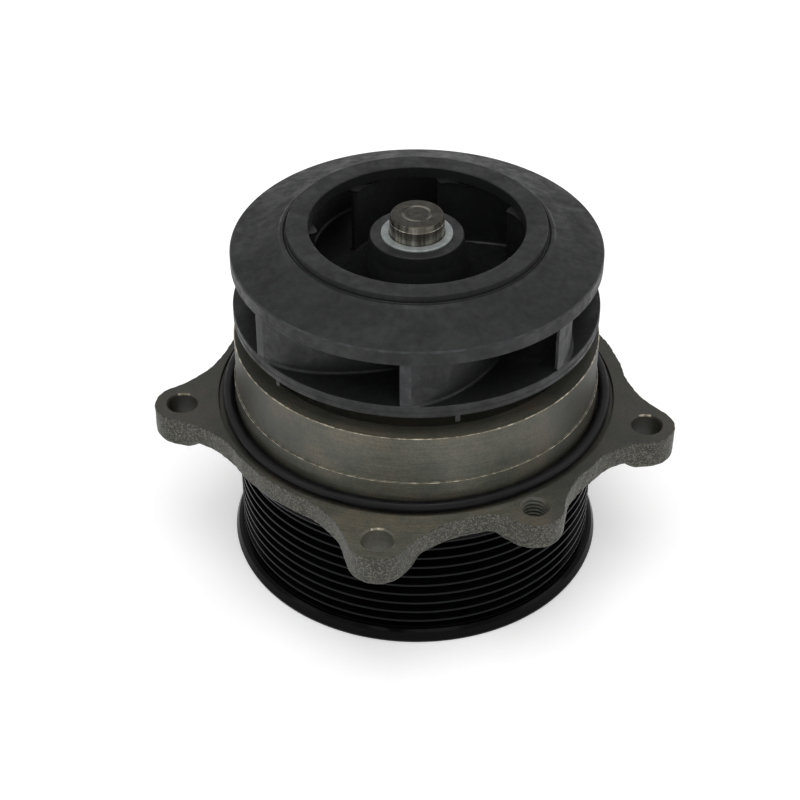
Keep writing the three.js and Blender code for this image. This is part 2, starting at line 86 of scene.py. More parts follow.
camera = bpy.data.objects.new("camera", bpy.data.cameras.new("camera"))
scene.collection.objects.link(camera)
camera.location = CAMERA_PLACE
camera.rotation_euler = (math.radians(CAMERA_TILT), 0, 0)
camera.data.sensor_width = 36
camera.data.lens = CAMERA_LENS
camera.data.clip_start = 0.01
scene.camera = camera


# ---- Bearing shaft -------------------------------------------
# A ground steel shaft that is itself the inner race. The end is faced, with a turned ring and a
# centre mark in it, and a bright chamfered nose where it was pressed into the impeller.

def softened(corners, steps=3):
    """An outline of (radius, height, corner radius) rows with each corner made an arc that touches
    both of its sides. The arc is the rational Bezier curve through the corner's two tangent points
    whose middle weight is the sine of half the corner's angle."""
    corners = np.array(corners, float)
    at, bend = corners[:, :2], corners[:, 2]
    back = np.roll(at, 1, axis=0) - at
    ahead = np.roll(at, -1, axis=0) - at
    back_length = np.linalg.norm(back, axis=1)
    ahead_length = np.linalg.norm(ahead, axis=1)
    back /= back_length[:, None]
    ahead /= ahead_length[:, None]
    half = np.arccos(np.clip((back * ahead).sum(axis=1), -1, 1)) / 2
    reach = np.minimum(bend / np.tan(half), 0.96 * np.minimum(back_length, ahead_length))[:, None]
    s = np.linspace(0, 1, steps + 1)[None, :, None]
    weight = np.sin(half)[:, None, None]
    parts = ((1 - s) ** 2, 2 * weight * s * (1 - s), s ** 2)
    ends = ((at + back * reach)[:, None], at[:, None], (at + ahead * reach)[:, None])
    arcs = sum(part * end for part, end in zip(parts, ends)) / sum(parts)
    return arcs.reshape(-1, 2)


def round_grid(r, z, angle):
    """Rows of points round Z: (r cos a, r sin a, z), where r and z may vary with the angle a."""
    r, z, angle = np.broadcast_arrays(r, z, angle)
    return np.stack([r * np.cos(angle), r * np.sin(angle), z], axis=-1)


def skin(name, grids, ring_section=False):
    """Joins each grid [row, column, xyz] with quads. Columns close on themselves, and rows do too where
    the section is a ring. Rows that shrink to a point are merged, and the faces are turned outwards."""
    points, quads, count = [], [], 0
    for grid in grids:
        rows, columns = grid.shape[:2]
        index = count + np.arange(rows * columns).reshape(rows, columns)
        low = index if ring_section else index[:-1]
        high = np.roll(index, -1, axis=0) if ring_section else index[1:]
        quad = np.stack([low, np.roll(low, -1, axis=1), np.roll(high, -1, axis=1), high], axis=-1)
        points.append(grid.reshape(-1, 3) * MM)
        quads.append(quad.reshape(-1, 4))
        count += rows * columns
    mesh = bpy.data.meshes.new(name)
    mesh.from_pydata(np.concatenate(points), [], np.concatenate(quads))
    form = bmesh.new()
    form.from_mesh(mesh)
    bmesh.ops.remove_doubles(form, verts=form.verts, dist=1e-7)
    bmesh.ops.recalc_face_normals(form, faces=form.faces)
    form.to_mesh(mesh)
    form.free()
    piece = bpy.data.objects.new(name, mesh)
    scene.collection.objects.link(piece)
    return piece


def turned(name, corners, columns=192, steps=3, ring_section=True):
    """A softened outline carried round Z."""
    outline = softened(corners, steps)
    angle = np.linspace(0, 2 * math.pi, columns, endpoint=False)
    return skin(name, [round_grid(outline[:, :1], outline[:, 1:], angle)], ring_section)


def corners_of(node):
    """The low and high corners of a CAD node's box, in millimetres."""
    return [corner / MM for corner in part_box(node)]


def fit(piece, body, nodes, slot, *materials, grips=None):
    """Shades a made piece and puts it in the place of its CAD nodes. A piece given grips is not attached to a
    body and keeps its place in the world; the grip heights are not used."""
    for material in materials:
        piece.data.materials.append(material)
    piece.data.shade_smooth()
    piece.data.set_sharp_from_angle(angle=math.radians(38))
    normals = piece.modifiers.new("weighted normals", "WEIGHTED_NORMAL")
    normals.keep_sharp = True
    if grips:
        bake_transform(piece)
    else:
        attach(piece, body)
    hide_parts(*nodes)


def linear(colour):
    """An sRGB hex colour as the linear RGBA that shaders take."""
    srgb = [int(colour[i:i + 2], 16) / 255 for i in (1, 3, 5)]
    return [c / 12.92 if c <= 0.04045 else ((c + 0.055) / 1.055) ** 2.4 for c in srgb] + [1]


def add(tree, kind, inputs, **settings):
    """Adds a node. An input's value is a socket to link from, or the value to set."""
    node = tree.nodes.new(kind)
    for name, value in settings.items():
        setattr(node, name, value)
    for socket, value in inputs.items():
        if isinstance(value, bpy.types.NodeSocket):
            tree.links.new(value, node.inputs[socket])
        else:
            node.inputs[socket].default_value = value
    return node


def finish(name, **sockets):
    """A new material: its name, node tree, shader and the place on the piece in metres."""
    material = bpy.data.materials.new(name)
    material.use_nodes = True
    tree = material.node_tree
    shader = tree.nodes["Principled BSDF"]
    for socket, value in sockets.items():
        shader.inputs[socket.replace("_", " ")].default_value = value
    place = add(tree, "ShaderNodeTexCoord", {}).outputs["Object"]
    return material, tree, shader, place


def between(tree, factor, *stops):
    """A colour ramp through (position, hex colour) stops."""
    ramp = add(tree, "ShaderNodeValToRGB", {"Fac": factor})
    elements = ramp.color_ramp.elements
    while len(elements) < len(stops):
        elements.new(0.5)
    for element, (position, colour) in zip(elements, stops):
        element.position = position
        element.color = linear(colour)
    return ramp.outputs["Color"]


def off_axis(tree, place):
    """The distance of a place from Z, in metres."""
    flat = add(tree, "ShaderNodeVectorMath", {0: place, 1: (1, 1, 0)}, operation="MULTIPLY")
    return add(tree, "ShaderNodeVectorMath", {0: flat.outputs[0]}, operation="LENGTH").outputs["Value"]


def lathe_place(tree, place, across, around):
    """The place as (distance from Z, height, distance from Z) times across, with the piece's own X, Y
    and Z times around added, so that a noise drawn on it runs in rings with slow changes round them."""
    radius = off_axis(tree, place)
    height = add(tree, "ShaderNodeSeparateXYZ", {0: place}).outputs["Z"]
    ring = add(tree, "ShaderNodeCombineXYZ", {"X": radius, "Y": height, "Z": radius})
    rings = add(tree, "ShaderNodeVectorMath", {0: ring.outputs[0], "Scale": across}, operation="SCALE")
    drift = add(tree, "ShaderNodeVectorMath", {0: place, "Scale": around}, operation="SCALE")
    both = add(tree, "ShaderNodeVectorMath", {0: rings.outputs[0], 1: drift.outputs[0]}, operation="ADD")
    return both.outputs[0]


def skin_over(tree, shader, colour, relief, strength, depth, worn=None, roughness=None):
    """Gives a finish its colour, its relief of a depth in millimetres and, where one is named, a wear
    pattern: the roughness goes from the first value to the second as the pattern goes from 0.3 to 0.7."""
    tree.links.new(colour, shader.inputs["Base Color"])
    bump = add(tree, "ShaderNodeBump", {"Height": relief, "Strength": strength, "Distance": depth * MM})
    tree.links.new(bump.outputs[0], shader.inputs["Normal"])
    if worn is not None:
        wear = add(tree, "ShaderNodeMapRange", {
            "Value": worn, "From Min": 0.3, "From Max": 0.7, "To Min": roughness[0], "To Max": roughness[1]})
        tree.links.new(wear.outputs[0], shader.inputs["Roughness"])


shaft_low, shaft_high = corners_of("shaft")
shaft_r, shaft_top = shaft_high.x, shaft_high.z
mark_r, mark_depth = 3.95, 0.16

# Ground bearing steel: plunge grinding leaves fine rings 0.1 mm apart, drawn at 0.25 mm to show. Light and
# dark streaks 1.6 mm wide along its length are painted reflection. The faced end is stained brown, and its
# turned ring has been rubbed bright on one side.
ground_steel, tree, shader, place = finish("ground bearing steel", Metallic=0.9, Roughness=0.28)
rings = add(tree, "ShaderNodeTexNoise", {
    "Vector": lathe_place(tree, place, 1 / (0.25 * MM), 60), "Scale": 1, "Detail": 3})
# Painted reflection: light and dark streaks along the shaft, put into the base colour.
lengthwise = add(tree, "ShaderNodeVectorMath", {
    0: place, 1: (1 / (1.6 * MM), 1 / (1.6 * MM), 1 / (14 * MM))}, operation="MULTIPLY")
painted_reflection_streaks = add(tree, "ShaderNodeTexNoise", {"Vector": lengthwise.outputs[0], "Scale": 1, "Detail": 2})
stain = add(tree, "ShaderNodeTexNoise", {"Vector": place, "Scale": 1 / (2.2 * MM), "Detail": 5})
height = add(tree, "ShaderNodeSeparateXYZ", {0: place})
end_face = add(tree, "ShaderNodeMapRange", {
    "Value": height.outputs["Z"],
    "From Min": (shaft_top - 0.28) * MM, "From Max": (shaft_top - 0.22) * MM})
painted_reflection_colour = between(tree, painted_reflection_streaks.outputs["Fac"], (0.36, "#5e5b53"), (0.5, "#8d897e"), (0.66, "#bfbbae"))
faced = between(tree, stain.outputs["Fac"], (0.3, "#302e28"), (0.55, "#403d36"), (0.75, "#514d45"))
colour = add(tree, "ShaderNodeMix", {0: end_face.outputs[0], 6: painted_reflection_colour, 7: faced}, data_type="RGBA")
off_mark = add(tree, "ShaderNodeMath", {0: off_axis(tree, place), 1: mark_r * MM}, operation="SUBTRACT")
beside_mark = add(tree, "ShaderNodeMath", {0: off_mark.outputs[0]}, operation="ABSOLUTE")
on_mark = add(tree, "ShaderNodeMapRange", {
    "Value": beside_mark.outputs[0], "From Min": 0.55 * MM, "From Max": 0.25 * MM})
sides = add(tree, "ShaderNodeTexNoise", {"Vector": place, "Scale": 1 / (6 * MM), "Detail": 1})
ring_wear_and_crest_highlight = add(tree, "ShaderNodeMapRange", {"Value": sides.outputs["Fac"], "From Min": 0.42, "From Max": 0.55})
shown = add(tree, "ShaderNodeMath", {0: on_mark.outputs[0], 1: ring_wear_and_crest_highlight.outputs[0]}, operation="MULTIPLY")
marked = add(tree, "ShaderNodeMix", {0: shown.outputs[0], 6: colour.outputs[2], 7: linear("#8b877c")},
             data_type="RGBA")
skin_over(tree, shader, marked.outputs[2], rings.outputs["Fac"], 0.35, 0.02,
          worn=rings.outputs["Fac"], roughness=(0.22, 0.4))

nose_bottom = shaft_top - 2
# The ball groove is one arc: its corner is where the tangents at its two edges meet.
groove_z, groove_half, groove_corner_r, groove_bend = 51, 2.12, 6.68, 4.1
shaft = turned("bearing_shaft", [
    [0, shaft_low.z, 0],
    [shaft_r - 0.5, shaft_low.z, 0.2],
    [shaft_r, shaft_low.z + 0.5, 0.2],
    [shaft_r, groove_z - groove_half, 0.05],
    [groove_corner_r, groove_z, groove_bend],
    [shaft_r, groove_z + groove_half, 0.05],
    [shaft_r, nose_bottom, 0.05],
    [shaft_r - 0.08, nose_bottom + 0.1, 0.05],
    [shaft_r - 0.42, shaft_top - 0.25, 0.15],
    [shaft_r - 0.7, shaft_top, 0.12],
    [mark_r + 0.45, shaft_top, 0.08],
    [mark_r, shaft_top - mark_depth, 0.3],
    [mark_r - 0.45, shaft_top, 0.08],
    [0.8, shaft_top, 0.2],
    [0, shaft_top - 0.25, 0],
], columns=160, ring_section=False)
fit(shaft, "rotor", ["shaft"], "shaft_steel", ground_steel)


# ---- Ball and roller bearing ---------------------------------
# A hardened outer ring with a row of balls and a row of rollers, each in a moulded nylon cage, and
# a rubber lip seal pressed into each end. It is bought whole and pressed into the neck.

# Honed bearing steel: bright, with a faint ring grain 0.2 mm apart.
honed_steel, tree, shader, place = finish("honed bearing steel", Metallic=1, Roughness=0.16)
grain = add(tree, "ShaderNodeTexNoise", {
    "Vector": lathe_place(tree, place, 1 / (0.2 * MM), 80), "Scale": 1, "Detail": 2})
colour = between(tree, grain.outputs["Fac"], (0.3, "#9b9da0"), (0.7, "#b6b8ba"))
skin_over(tree, shader, colour, grain.outputs["Fac"], 0.2, 0.01)

# Nitrile rubber: black, a soft sheen, and the fine pebble that a mould leaves, 0.3 mm across.
nitrile, tree, shader, place = finish("moulded nitrile rubber", Roughness=0.5, Specular_IOR_Level=0.2)
pebble = add(tree, "ShaderNodeTexNoise", {"Vector": place, "Scale": 1 / (0.3 * MM), "Detail": 3})
smear = add(tree, "ShaderNodeTexNoise", {"Vector": place, "Scale": 1 / (5 * MM), "Detail": 3})
colour = between(tree, smear.outputs["Fac"], (0.35, "#060607"), (0.7, "#0f0f11"))
skin_over(tree, shader, colour, pebble.outputs["Fac"], 0.25, 0.03,
          worn=smear.outputs["Fac"], roughness=(0.34, 0.56))

# Polyamide of the cages: cream, slightly translucent, with flow marks 2 mm wide.
cage_nylon, tree, shader, place = finish("moulded polyamide", Roughness=0.5, Subsurface_Weight=0.15,
                                         Subsurface_Scale=1 * MM)
flow = add(tree, "ShaderNodeTexNoise", {"Vector": place, "Scale": 1 / (2 * MM), "Detail": 3})
colour = between(tree, flow.outputs["Fac"], (0.3, "#ac9a78"), (0.7, "#c6b592"))
skin_over(tree, shader, colour, flow.outputs["Fac"], 0.15, 0.05)

ring_low, ring_high = corners_of("bearing_outer_ring")
ring_r, race_r = ring_high.x, 14.1
race_half, race_corner_r = 3.13, 16.6
outer_ring = turned("bearing_ring", [
    [race_r, ring_low.z, 0.15],
    [ring_r - 0.6, ring_low.z, 0.3],
    [ring_r, ring_low.z + 0.6, 0.3],
    [ring_r, ring_high.z - 0.6, 0.3],
    [ring_r - 0.6, ring_high.z, 0.3],
    [race_r, ring_high.z, 0.15],
    [race_r, groove_z + race_half, 0.05],
    [race_corner_r, groove_z, groove_bend],
    [race_r, groove_z - race_half, 0.05],
])
fit(outer_ring, "pump_body", ["bearing_outer_ring"], "bearing_steel", honed_steel)

for end, lip_side in (("pulley_end", 1), ("pump_end", -1)):
    low, high = corners_of(f"bearing_seal_{end}")
    lip, back = (low.z, high.z) if lip_side > 0 else (high.z, low.z)
    web = lip + 0.45 * (back - lip)
    lip_r, rim_r = shaft_r + 0.1, high.x
    seal = turned(f"lip_seal_{end}", [
        [lip_r, lip, 0.1], [rim_r, lip, 0.15], [rim_r, back, 0.15], [rim_r - 1, back, 0.2],
        [rim_r - 1.2, web, 0.3], [lip_r + 1.4, web, 0.3], [lip_r + 0.5, back, 0.2], [lip_r, back, 0.1],
    ])
    fit(seal, "pump_body", [f"bearing_seal_{end}"], "seal_rubber", nitrile)

angle = np.linspace(0, 2 * math.pi, 40, endpoint=False)
latitude = np.linspace(-math.pi / 2, math.pi / 2, 25)[:, None]
for i in range(1, 9):
    low, high = corners_of(f"bearing_ball_{i}")
    ball_r = (high.z - low.z) / 2
    grid = round_grid(ball_r * np.cos(latitude), ball_r * np.sin(latitude), angle)
    ball = skin(f"ball_{i}", [grid + np.array(low + high) / 2])
    fit(ball, "ball_set", [f"bearing_ball_{i}"], "bearing_steel", honed_steel)

for i in range(1, 11):
    low, high = corners_of(f"bearing_roller_{i}")
    roller_r, half_length = 2.85, (high.z - low.z) / 2
    outline = softened([
        [0, -half_length, 0], [roller_r - 0.35, -half_length, 0.15], [roller_r, 0.4 - half_length, 0.3],
        [roller_r, half_length - 0.4, 0.3], [roller_r - 0.35, half_length, 0.15], [0, half_length, 0]])
    grid = round_grid(outline[:, :1], outline[:, 1:], angle)
    roller = skin(f"roller_{i}", [grid + np.array(low + high) / 2])
    fit(roller, "roller_set", [f"bearing_roller_{i}"], "bearing_steel", honed_steel)

for cage in ("ball_cage", "roller_cage"):
    frame["nodes"][cage].material_slots[0].material = cage_nylon


# ---- Pump housing --------------------------------------------
# Grey iron, sand cast, with the flange face, the spigot, the O-ring groove, the bores and the bolt
# seats machined. Five ears take M8 bolts, and a lobe beside the front ear is tapped for a jack screw.

# Machined grey iron: the tool leaves rings 0.35 mm apart, graphite darkens it to olive grey, and rust warms
# it in patches about 15 mm wide. Painted light and shade make it lighter at the front and darker towards the
# two sides.
machined_iron, tree, shader, place = finish("machined grey iron", Metallic=0.2, Roughness=0.45)
tool_marks = add(tree, "ShaderNodeTexNoise", {
    "Vector": lathe_place(tree, place, 1 / (0.35 * MM), 70), "Scale": 1, "Detail": 4, "Roughness": 0.6})
patches = add(tree, "ShaderNodeTexNoise", {
    "Vector": place, "Scale": 1 / (15 * MM), "Detail": 6, "Roughness": 0.7})
graphite = add(tree, "ShaderNodeTexNoise", {"Vector": place, "Scale": 1 / (0.5 * MM), "Detail": 2})
tone = between(tree, patches.outputs["Fac"], (0.36, "#44463d"), (0.5, "#4f4f46"), (0.64, "#5c564a"))
speck = between(tree, graphite.outputs["Fac"], (0.35, "#b8b8b0"), (0.6, "#ffffff"))
streak = between(tree, tool_marks.outputs["Fac"], (0.3, "#bcbcb8"), (0.65, "#ffffff"))
for pattern, amount in ((speck, 0.5), (streak, 0.8)):
    mix = add(tree, "ShaderNodeMix", {0: amount, 6: tone, 7: pattern}, data_type="RGBA",
              blend_type="MULTIPLY")
    tone = mix.outputs[2]
# Painted light and shade: the colour is scaled up at the front and down towards the two sides.
across = add(tree, "ShaderNodeSeparateXYZ", {0: place})
sideways_out = add(tree, "ShaderNodeMath", {0: across.outputs["X"]}, operation="ABSOLUTE")
painted_front_light_and_side_shade = add(tree, "ShaderNodeMapRange", {
    "Value": sideways_out.outputs[0],
    "From Min": 22 * MM, "From Max": 52 * MM, "To Min": 1.35, "To Max": 0.55})
tone = add(tree, "ShaderNodeVectorMath", {0: tone, "Scale": painted_front_light_and_side_shade.outputs[0]}, operation="SCALE")
skin_over(tree, shader, tone.outputs[0], tool_marks.outputs["Fac"], 0.4, 0.03,
          worn=tool_marks.outputs["Fac"], roughness=(0.42, 0.6))

# Sand-cast skin: shot-blasted to a matt grain of 0.9 mm lumps with 0.45 mm pits, and bright specks
# where the shot has peened the peaks.
cast_skin, tree, shader, place = finish("sand cast iron skin", Metallic=0.4, Roughness=0.6)
lumps = add(tree, "ShaderNodeTexNoise", {
    "Vector": place, "Scale": 1 / (0.9 * MM), "Detail": 3, "Roughness": 0.6})
pits = add(tree, "ShaderNodeTexVoronoi", {"Vector": place, "Scale": 1 / (0.45 * MM)})
surface = add(tree, "ShaderNodeMix", {0: 0.4, 2: lumps.outputs["Fac"], 3: pits.outputs["Distance"]})
colour = between(tree, surface.outputs[0], (0.36, "#20201a"), (0.5, "#36362f"), (0.64, "#5e5d53"))
skin_over(tree, shader, colour, surface.outputs[0], 0.8, 0.14,
          worn=lumps.outputs["Fac"], roughness=(0.44, 0.66))

# Painted highlight on cut edges: where the tool broke a corner the iron is bare, and it is painted a light
# cream there in dashes about 2 mm long as a painted highlight.
painted_edge_highlight, tree, shader, place = finish("iron edge painted highlight", Metallic=0.8, Roughness=0.35)
broken = add(tree, "ShaderNodeTexNoise", {"Vector": place, "Scale": 1 / (2 * MM), "Detail": 4})
colour = between(tree, broken.outputs["Fac"], (0.35, "#615d50"), (0.5, "#888272"), (0.65, "#c2bba7"))
skin_over(tree, shader, colour, broken.outputs["Fac"], 0.3, 0.05)

housing_low, housing_high = corners_of("pump_housing")
FLANGE_TOP, FLANGE_BOTTOM = 52.67, 45.6
BASE_X, BASE_Y, BASE_R = 1.2, 0.87, 63.4
BOSS_R, BOLT_CIRCLE_R, JACK_CIRCLE_R = 8.6, 71, 65.26
BOLT_HOLE_R, JACK_CORE_R, THREAD_R, THREAD_PITCH = 4.5, 3.3, 4.0, 1.25
SPIGOT_R, SPIGOT_LOWER_R, SPIGOT_STEP = 54.34, 54.9, 60
GROOVE_R, GROOVE_FLOOR = 60.1, 51.4
POCKET_ROOF, RIB_BOTTOM, RIB_HALF_WIDTH = 66.5, 50, 2.2
NECK_R, POCKET_R = 25.5, 46.54
EAR_PAD, LOBE_PAD, HOLE_BOTTOM = 43.1, 43.9, 42
CHAMBER_FLOOR, SEAL_BOSS_R, SEAL_BOSS_TOP = 72, 22.5, 74
SEAL_BORE_R, SEAL_BORE_FLOOR, LEAK_CHAMBER_R, BEARING_BORE_TOP = 18.2, 65.5, 14.5, 62.2
OUTLINE_POINTS = 600


def mount_angle(name):
    """The direction of a mount from the shaft, in radians."""
    mount = next(m for m in frame["record"]["mounts"] if m["name"] == name)
    return math.atan2(mount["pos_m"][1], mount["pos_m"][0])


# Each boss: its centre, the radii of the hollow fillets before and after it, and its pad's height.
bosses = []
for name, before, after in (("left", 34, 34), ("front", 34, 34), ("jack", 8.7, 30), ("right", 22.6, 34),
                            ("back_right", 34, 34), ("back_left", 34, 34)):
    jack = name == "jack"
    direction = mount_angle("jack_screw_face" if jack else f"bolt_seat_{name}")
    reach = JACK_CIRCLE_R if jack else BOLT_CIRCLE_R
    centre = reach * np.array([math.cos(direction), math.sin(direction)])
    bosses.append((centre, before, after, LOBE_PAD if jack else EAR_PAD))
base = np.array([BASE_X, BASE_Y])


def fillet_centre(boss, bend, side):
    """The centre of the hollow arc that touches the base circle and the boss on one side: it lies at the
    sum of the radii from each of the two centres."""
    along = boss - base
    distance = np.linalg.norm(along)
    reach = BASE_R + bend
    forward = (reach ** 2 - (BOSS_R + bend) ** 2 + distance ** 2) / (2 * distance)
    sideways = side * math.sqrt(reach ** 2 - forward ** 2)
    along /= distance
    return base + along * forward + np.array([-along[1], along[0]]) * sideways


def arc(centre, bend, start, end, turn):
    """Points on a circle from the side facing one point to the side facing another; turn is the sign."""
    first = math.atan2(*(start - centre)[::-1])
    sweep = turn * ((turn * (math.atan2(*(end - centre)[::-1]) - first)) % (2 * math.pi))
    angles = first + np.linspace(0, sweep, 3 + int(abs(sweep) * bend / 0.2))
    return centre + bend * np.stack([np.cos(angles), np.sin(angles)], axis=1)


def flange_outline(count):
    """The flange seen from above: base circle, hollow fillet, boss and fillet in turn, as points at
    equal steps along it."""
    runs = []
    for i, (centre, before, after, _) in enumerate(bosses):
        last_centre, _, last_after, _ = bosses[i - 1]
        last_outlet = fillet_centre(last_centre, last_after, 1)
        inlet, outlet = fillet_centre(centre, before, -1), fillet_centre(centre, after, 1)
        runs += [arc(base, BASE_R, last_outlet, inlet, 1), arc(inlet, before, base, centre, -1),
                 arc(centre, BOSS_R, inlet, outlet, 1), arc(outlet, after, centre, base, -1)]
    path = np.concatenate(runs + [runs[0][:1]])
    along = np.concatenate([[0], np.cumsum(np.linalg.norm(np.diff(path, axis=0), axis=1))])
    steps = np.linspace(0, along[-1], count, endpoint=False)
    return np.stack([np.interp(steps, along, path[:, 0]), np.interp(steps, along, path[:, 1])], axis=1)


def smooth(x):
    """Rises from 0 to 1 as x does, level at both ends: 3x squared less 2x cubed."""
    x = np.clip(x, 0, 1)
    return x * x * (3 - 2 * x)


outline = flange_outline(OUTLINE_POINTS)
outline_r = np.hypot(outline[:, 0], outline[:, 1])
outline_angle = np.arctan2(outline[:, 1], outline[:, 0])


def under_plate(r):
    """The flange's underside: level, with a pad round each boss that fades out over 3 mm."""
    x, y = r * np.cos(outline_angle), r * np.sin(outline_angle)
    z = np.full(np.broadcast(x, y).shape, float(FLANGE_BOTTOM))
    for centre, _, _, pad in bosses:
        far = np.hypot(x - centre[0], y - centre[1])
        z -= (FLANGE_BOTTOM - pad) * (1 - smooth((far - BOSS_R - 0.3) / 3))
    return z


def pocket_roof(r):
    """The roof of the cored pockets under the back wall, which drops to the rib's foot at each of the
    six ribs; the distance from a rib's middle is r times the sine of the angle from it."""
    fold = (outline_angle + math.pi / 6) % (math.pi / 3) - math.pi / 6
    beside = np.abs(r * np.sin(fold))
    return RIB_BOTTOM + (POCKET_ROOF - RIB_BOTTOM) * smooth((beside - RIB_HALF_WIDTH) / 1.6)


def cast_lumps(z):
    """The wall's unevenness from the sand, 0 to 0.4 inwards: three waves round the outline, skewed by
    the height."""
    turn = np.arange(OUTLINE_POINTS) * 2 * math.pi / OUTLINE_POINTS
    return (0.09 * np.sin(43 * turn + 0.3 * z) + 0.06 * np.sin(119 * turn - 0.9 * z)
            + 0.05 * np.sin(191 * turn + 1.7 * z + 1)) - 0.2


# The turned profile from the flange face over the spigot and down the bores to the neck. Its first and
# last rows only give their neighbours a direction, so their points are dropped.
corner = softened([
    [GROOVE_R + 1.9, FLANGE_TOP, 0],
    [GROOVE_R, FLANGE_TOP, 0.15],
    [GROOVE_R, GROOVE_FLOOR, 0.4],
    [SPIGOT_LOWER_R, GROOVE_FLOOR, 0.4],
    [SPIGOT_LOWER_R, SPIGOT_STEP, 0.14],
    [SPIGOT_R, SPIGOT_STEP + 0.02, 0.1],
    [SPIGOT_R, housing_high.z, 0.28],
    [POCKET_R + 2, housing_high.z, 0.4],
    [POCKET_R + 1, CHAMBER_FLOOR, 1],
    [SEAL_BOSS_R, CHAMBER_FLOOR, 1],
    [SEAL_BOSS_R, SEAL_BOSS_TOP, 0.3],
    [SEAL_BORE_R, SEAL_BOSS_TOP, 0.3],
    [SEAL_BORE_R, SEAL_BORE_FLOOR, 0.3],
    [LEAK_CHAMBER_R, SEAL_BORE_FLOOR, 0.2],
    [LEAK_CHAMBER_R, BEARING_BORE_TOP, 0.2],
    [ring_r + 0.05, BEARING_BORE_TOP, 0.2],
    [ring_r + 0.05, housing_low.z, 0.5],
    [NECK_R - 1, housing_low.z, 0.5],
    [NECK_R, housing_low.z + 1.6, 0.8],
    [NECK_R + 1, 45, 0],
], steps=2)[3:-3]

POCKET_FILLET, EDGE_FILLET, TOP_EDGE = 2, 1.3, 0.22
bend = np.linspace(0, math.pi / 2, 4)[:, None]
rise = np.linspace(0, 1, 7)[:, None]
roof_near, roof_far = pocket_roof(NECK_R + 3), pocket_roof(POCKET_R - 1)
inner, outer = NECK_R + 0.6, POCKET_R - 0.4
neck_foot, mouth = housing_low.z + 3, FLANGE_BOTTOM + 1
span = np.linspace(0, 1, 8)[1:-1, None]
roof_r = inner + POCKET_FILLET + (outer - inner - 2 * POCKET_FILLET) * span
plate_r = POCKET_R + 1 + (outline_r - EDGE_FILLET - POCKET_R - 1) * np.linspace(0, 1, 24)[:, None]
edge_low = under_plate(outline_r)
climb = np.linspace(0, 1, 8)[:, None]
wall_z = edge_low + EDGE_FILLET + (FLANGE_TOP - TOP_EDGE - edge_low - EDGE_FILLET) * climb
top_r = GROOVE_R + 0.5 + (outline_r - TOP_EDGE - GROOVE_R - 0.5) * climb[::-1]
stretches = [
    (top_r + cast_lumps(FLANGE_TOP) * climb[::-1], FLANGE_TOP),
    (corner[:, :1], corner[:, 1:]),
    (NECK_R + 0.1 + 0.5 * rise[1:-1], neck_foot + (roof_near - POCKET_FILLET - neck_foot) * rise[1:-1]),
    (inner + POCKET_FILLET * (1 - np.cos(bend)), roof_near - POCKET_FILLET * (1 - np.sin(bend))),
    (roof_r, pocket_roof(roof_r)),
    (outer - POCKET_FILLET * (1 - np.sin(bend)), roof_far - POCKET_FILLET * (1 - np.cos(bend))),
    (outer + 0.4 * rise[1:], mouth + (roof_far - POCKET_FILLET - mouth) * (1 - rise[1:])),
    (plate_r, under_plate(plate_r)),
    (outline_r - EDGE_FILLET * (1 - np.sin(bend)) + cast_lumps(edge_low),
     edge_low + EDGE_FILLET * (1 - np.cos(bend))),
    (outline_r + cast_lumps(wall_z), wall_z),
]
section = np.concatenate([round_grid(r, z, outline_angle) for r, z in stretches])
housing = skin("housing_casting", [section], ring_section=True)


def cut_by(piece, cutter, operation="DIFFERENCE"):
    """Cuts or joins a second closed mesh and keeps the result as the piece's mesh."""
    change = piece.modifiers.new(operation, "BOOLEAN")
    change.operation = operation
    change.solver = "MANIFOLD"
    change.object = cutter
    bpy.context.view_layer.objects.active = piece
    bpy.ops.object.modifier_apply(modifier=change.name)
    bpy.data.objects.remove(cutter)
    piece.data.materials.clear()


# Bolt holes are drilled and chamfered. The thread's depth is a triangle wave of height over pitch
# less turns, so that its ridge climbs one pitch in each turn.
angle = np.linspace(0, 2 * math.pi, 48, endpoint=False)
hole_top = FLANGE_TOP + 0.3
hole = softened([[0, HOLE_BOTTOM, 0], [BOLT_HOLE_R, HOLE_BOTTOM, 0], [BOLT_HOLE_R, FLANGE_TOP - 0.45, 0.1],
                 [BOLT_HOLE_R + 0.75, hole_top, 0], [0, hole_top, 0]])
drills = [round_grid(hole[:, :1], hole[:, 1:], angle) + (*centre, 0)
          for centre, _, _, pad in bosses if pad == EAR_PAD]
height = np.linspace(HOLE_BOTTOM, hole_top, 96)[:, None]
wave = np.abs(((height / THREAD_PITCH - angle / (2 * math.pi)) % 1) - 0.5) * 2
tap_r = JACK_CORE_R + (THREAD_R - JACK_CORE_R) * smooth(wave * 1.25 - 0.1)
tap_r = np.maximum(tap_r, THREAD_R + 0.25 + height - FLANGE_TOP)
tap_r[[0, -1]] = 0
tap_z = height.copy()
tap_z[0], tap_z[-1] = tap_z[1], tap_z[-2]
jack_centre = next(centre for centre, _, _, pad in bosses if pad == LOBE_PAD)
drills.append(round_grid(tap_r, tap_z, angle) + (*jack_centre, 0))
WEEP_ANGLE, WEEP_Z, WEEP_R, WEEP_START, WEEP_END = math.radians(-136), 63.35, 2.5, 13.5, 39
weep = softened([[0, WEEP_START, 0], [WEEP_R, WEEP_START, 0.1], [WEEP_R, WEEP_END, 0.1], [0, WEEP_END, 0]])
lying = round_grid(weep[:, :1], weep[:, 1:], angle)
drills.append(np.stack([
    lying[..., 2] * math.cos(WEEP_ANGLE) - lying[..., 0] * math.sin(WEEP_ANGLE),
    lying[..., 2] * math.sin(WEEP_ANGLE) + lying[..., 0] * math.cos(WEEP_ANGLE),
    WEEP_Z + lying[..., 1]], axis=-1))
cut_by(housing, skin("drills", drills))
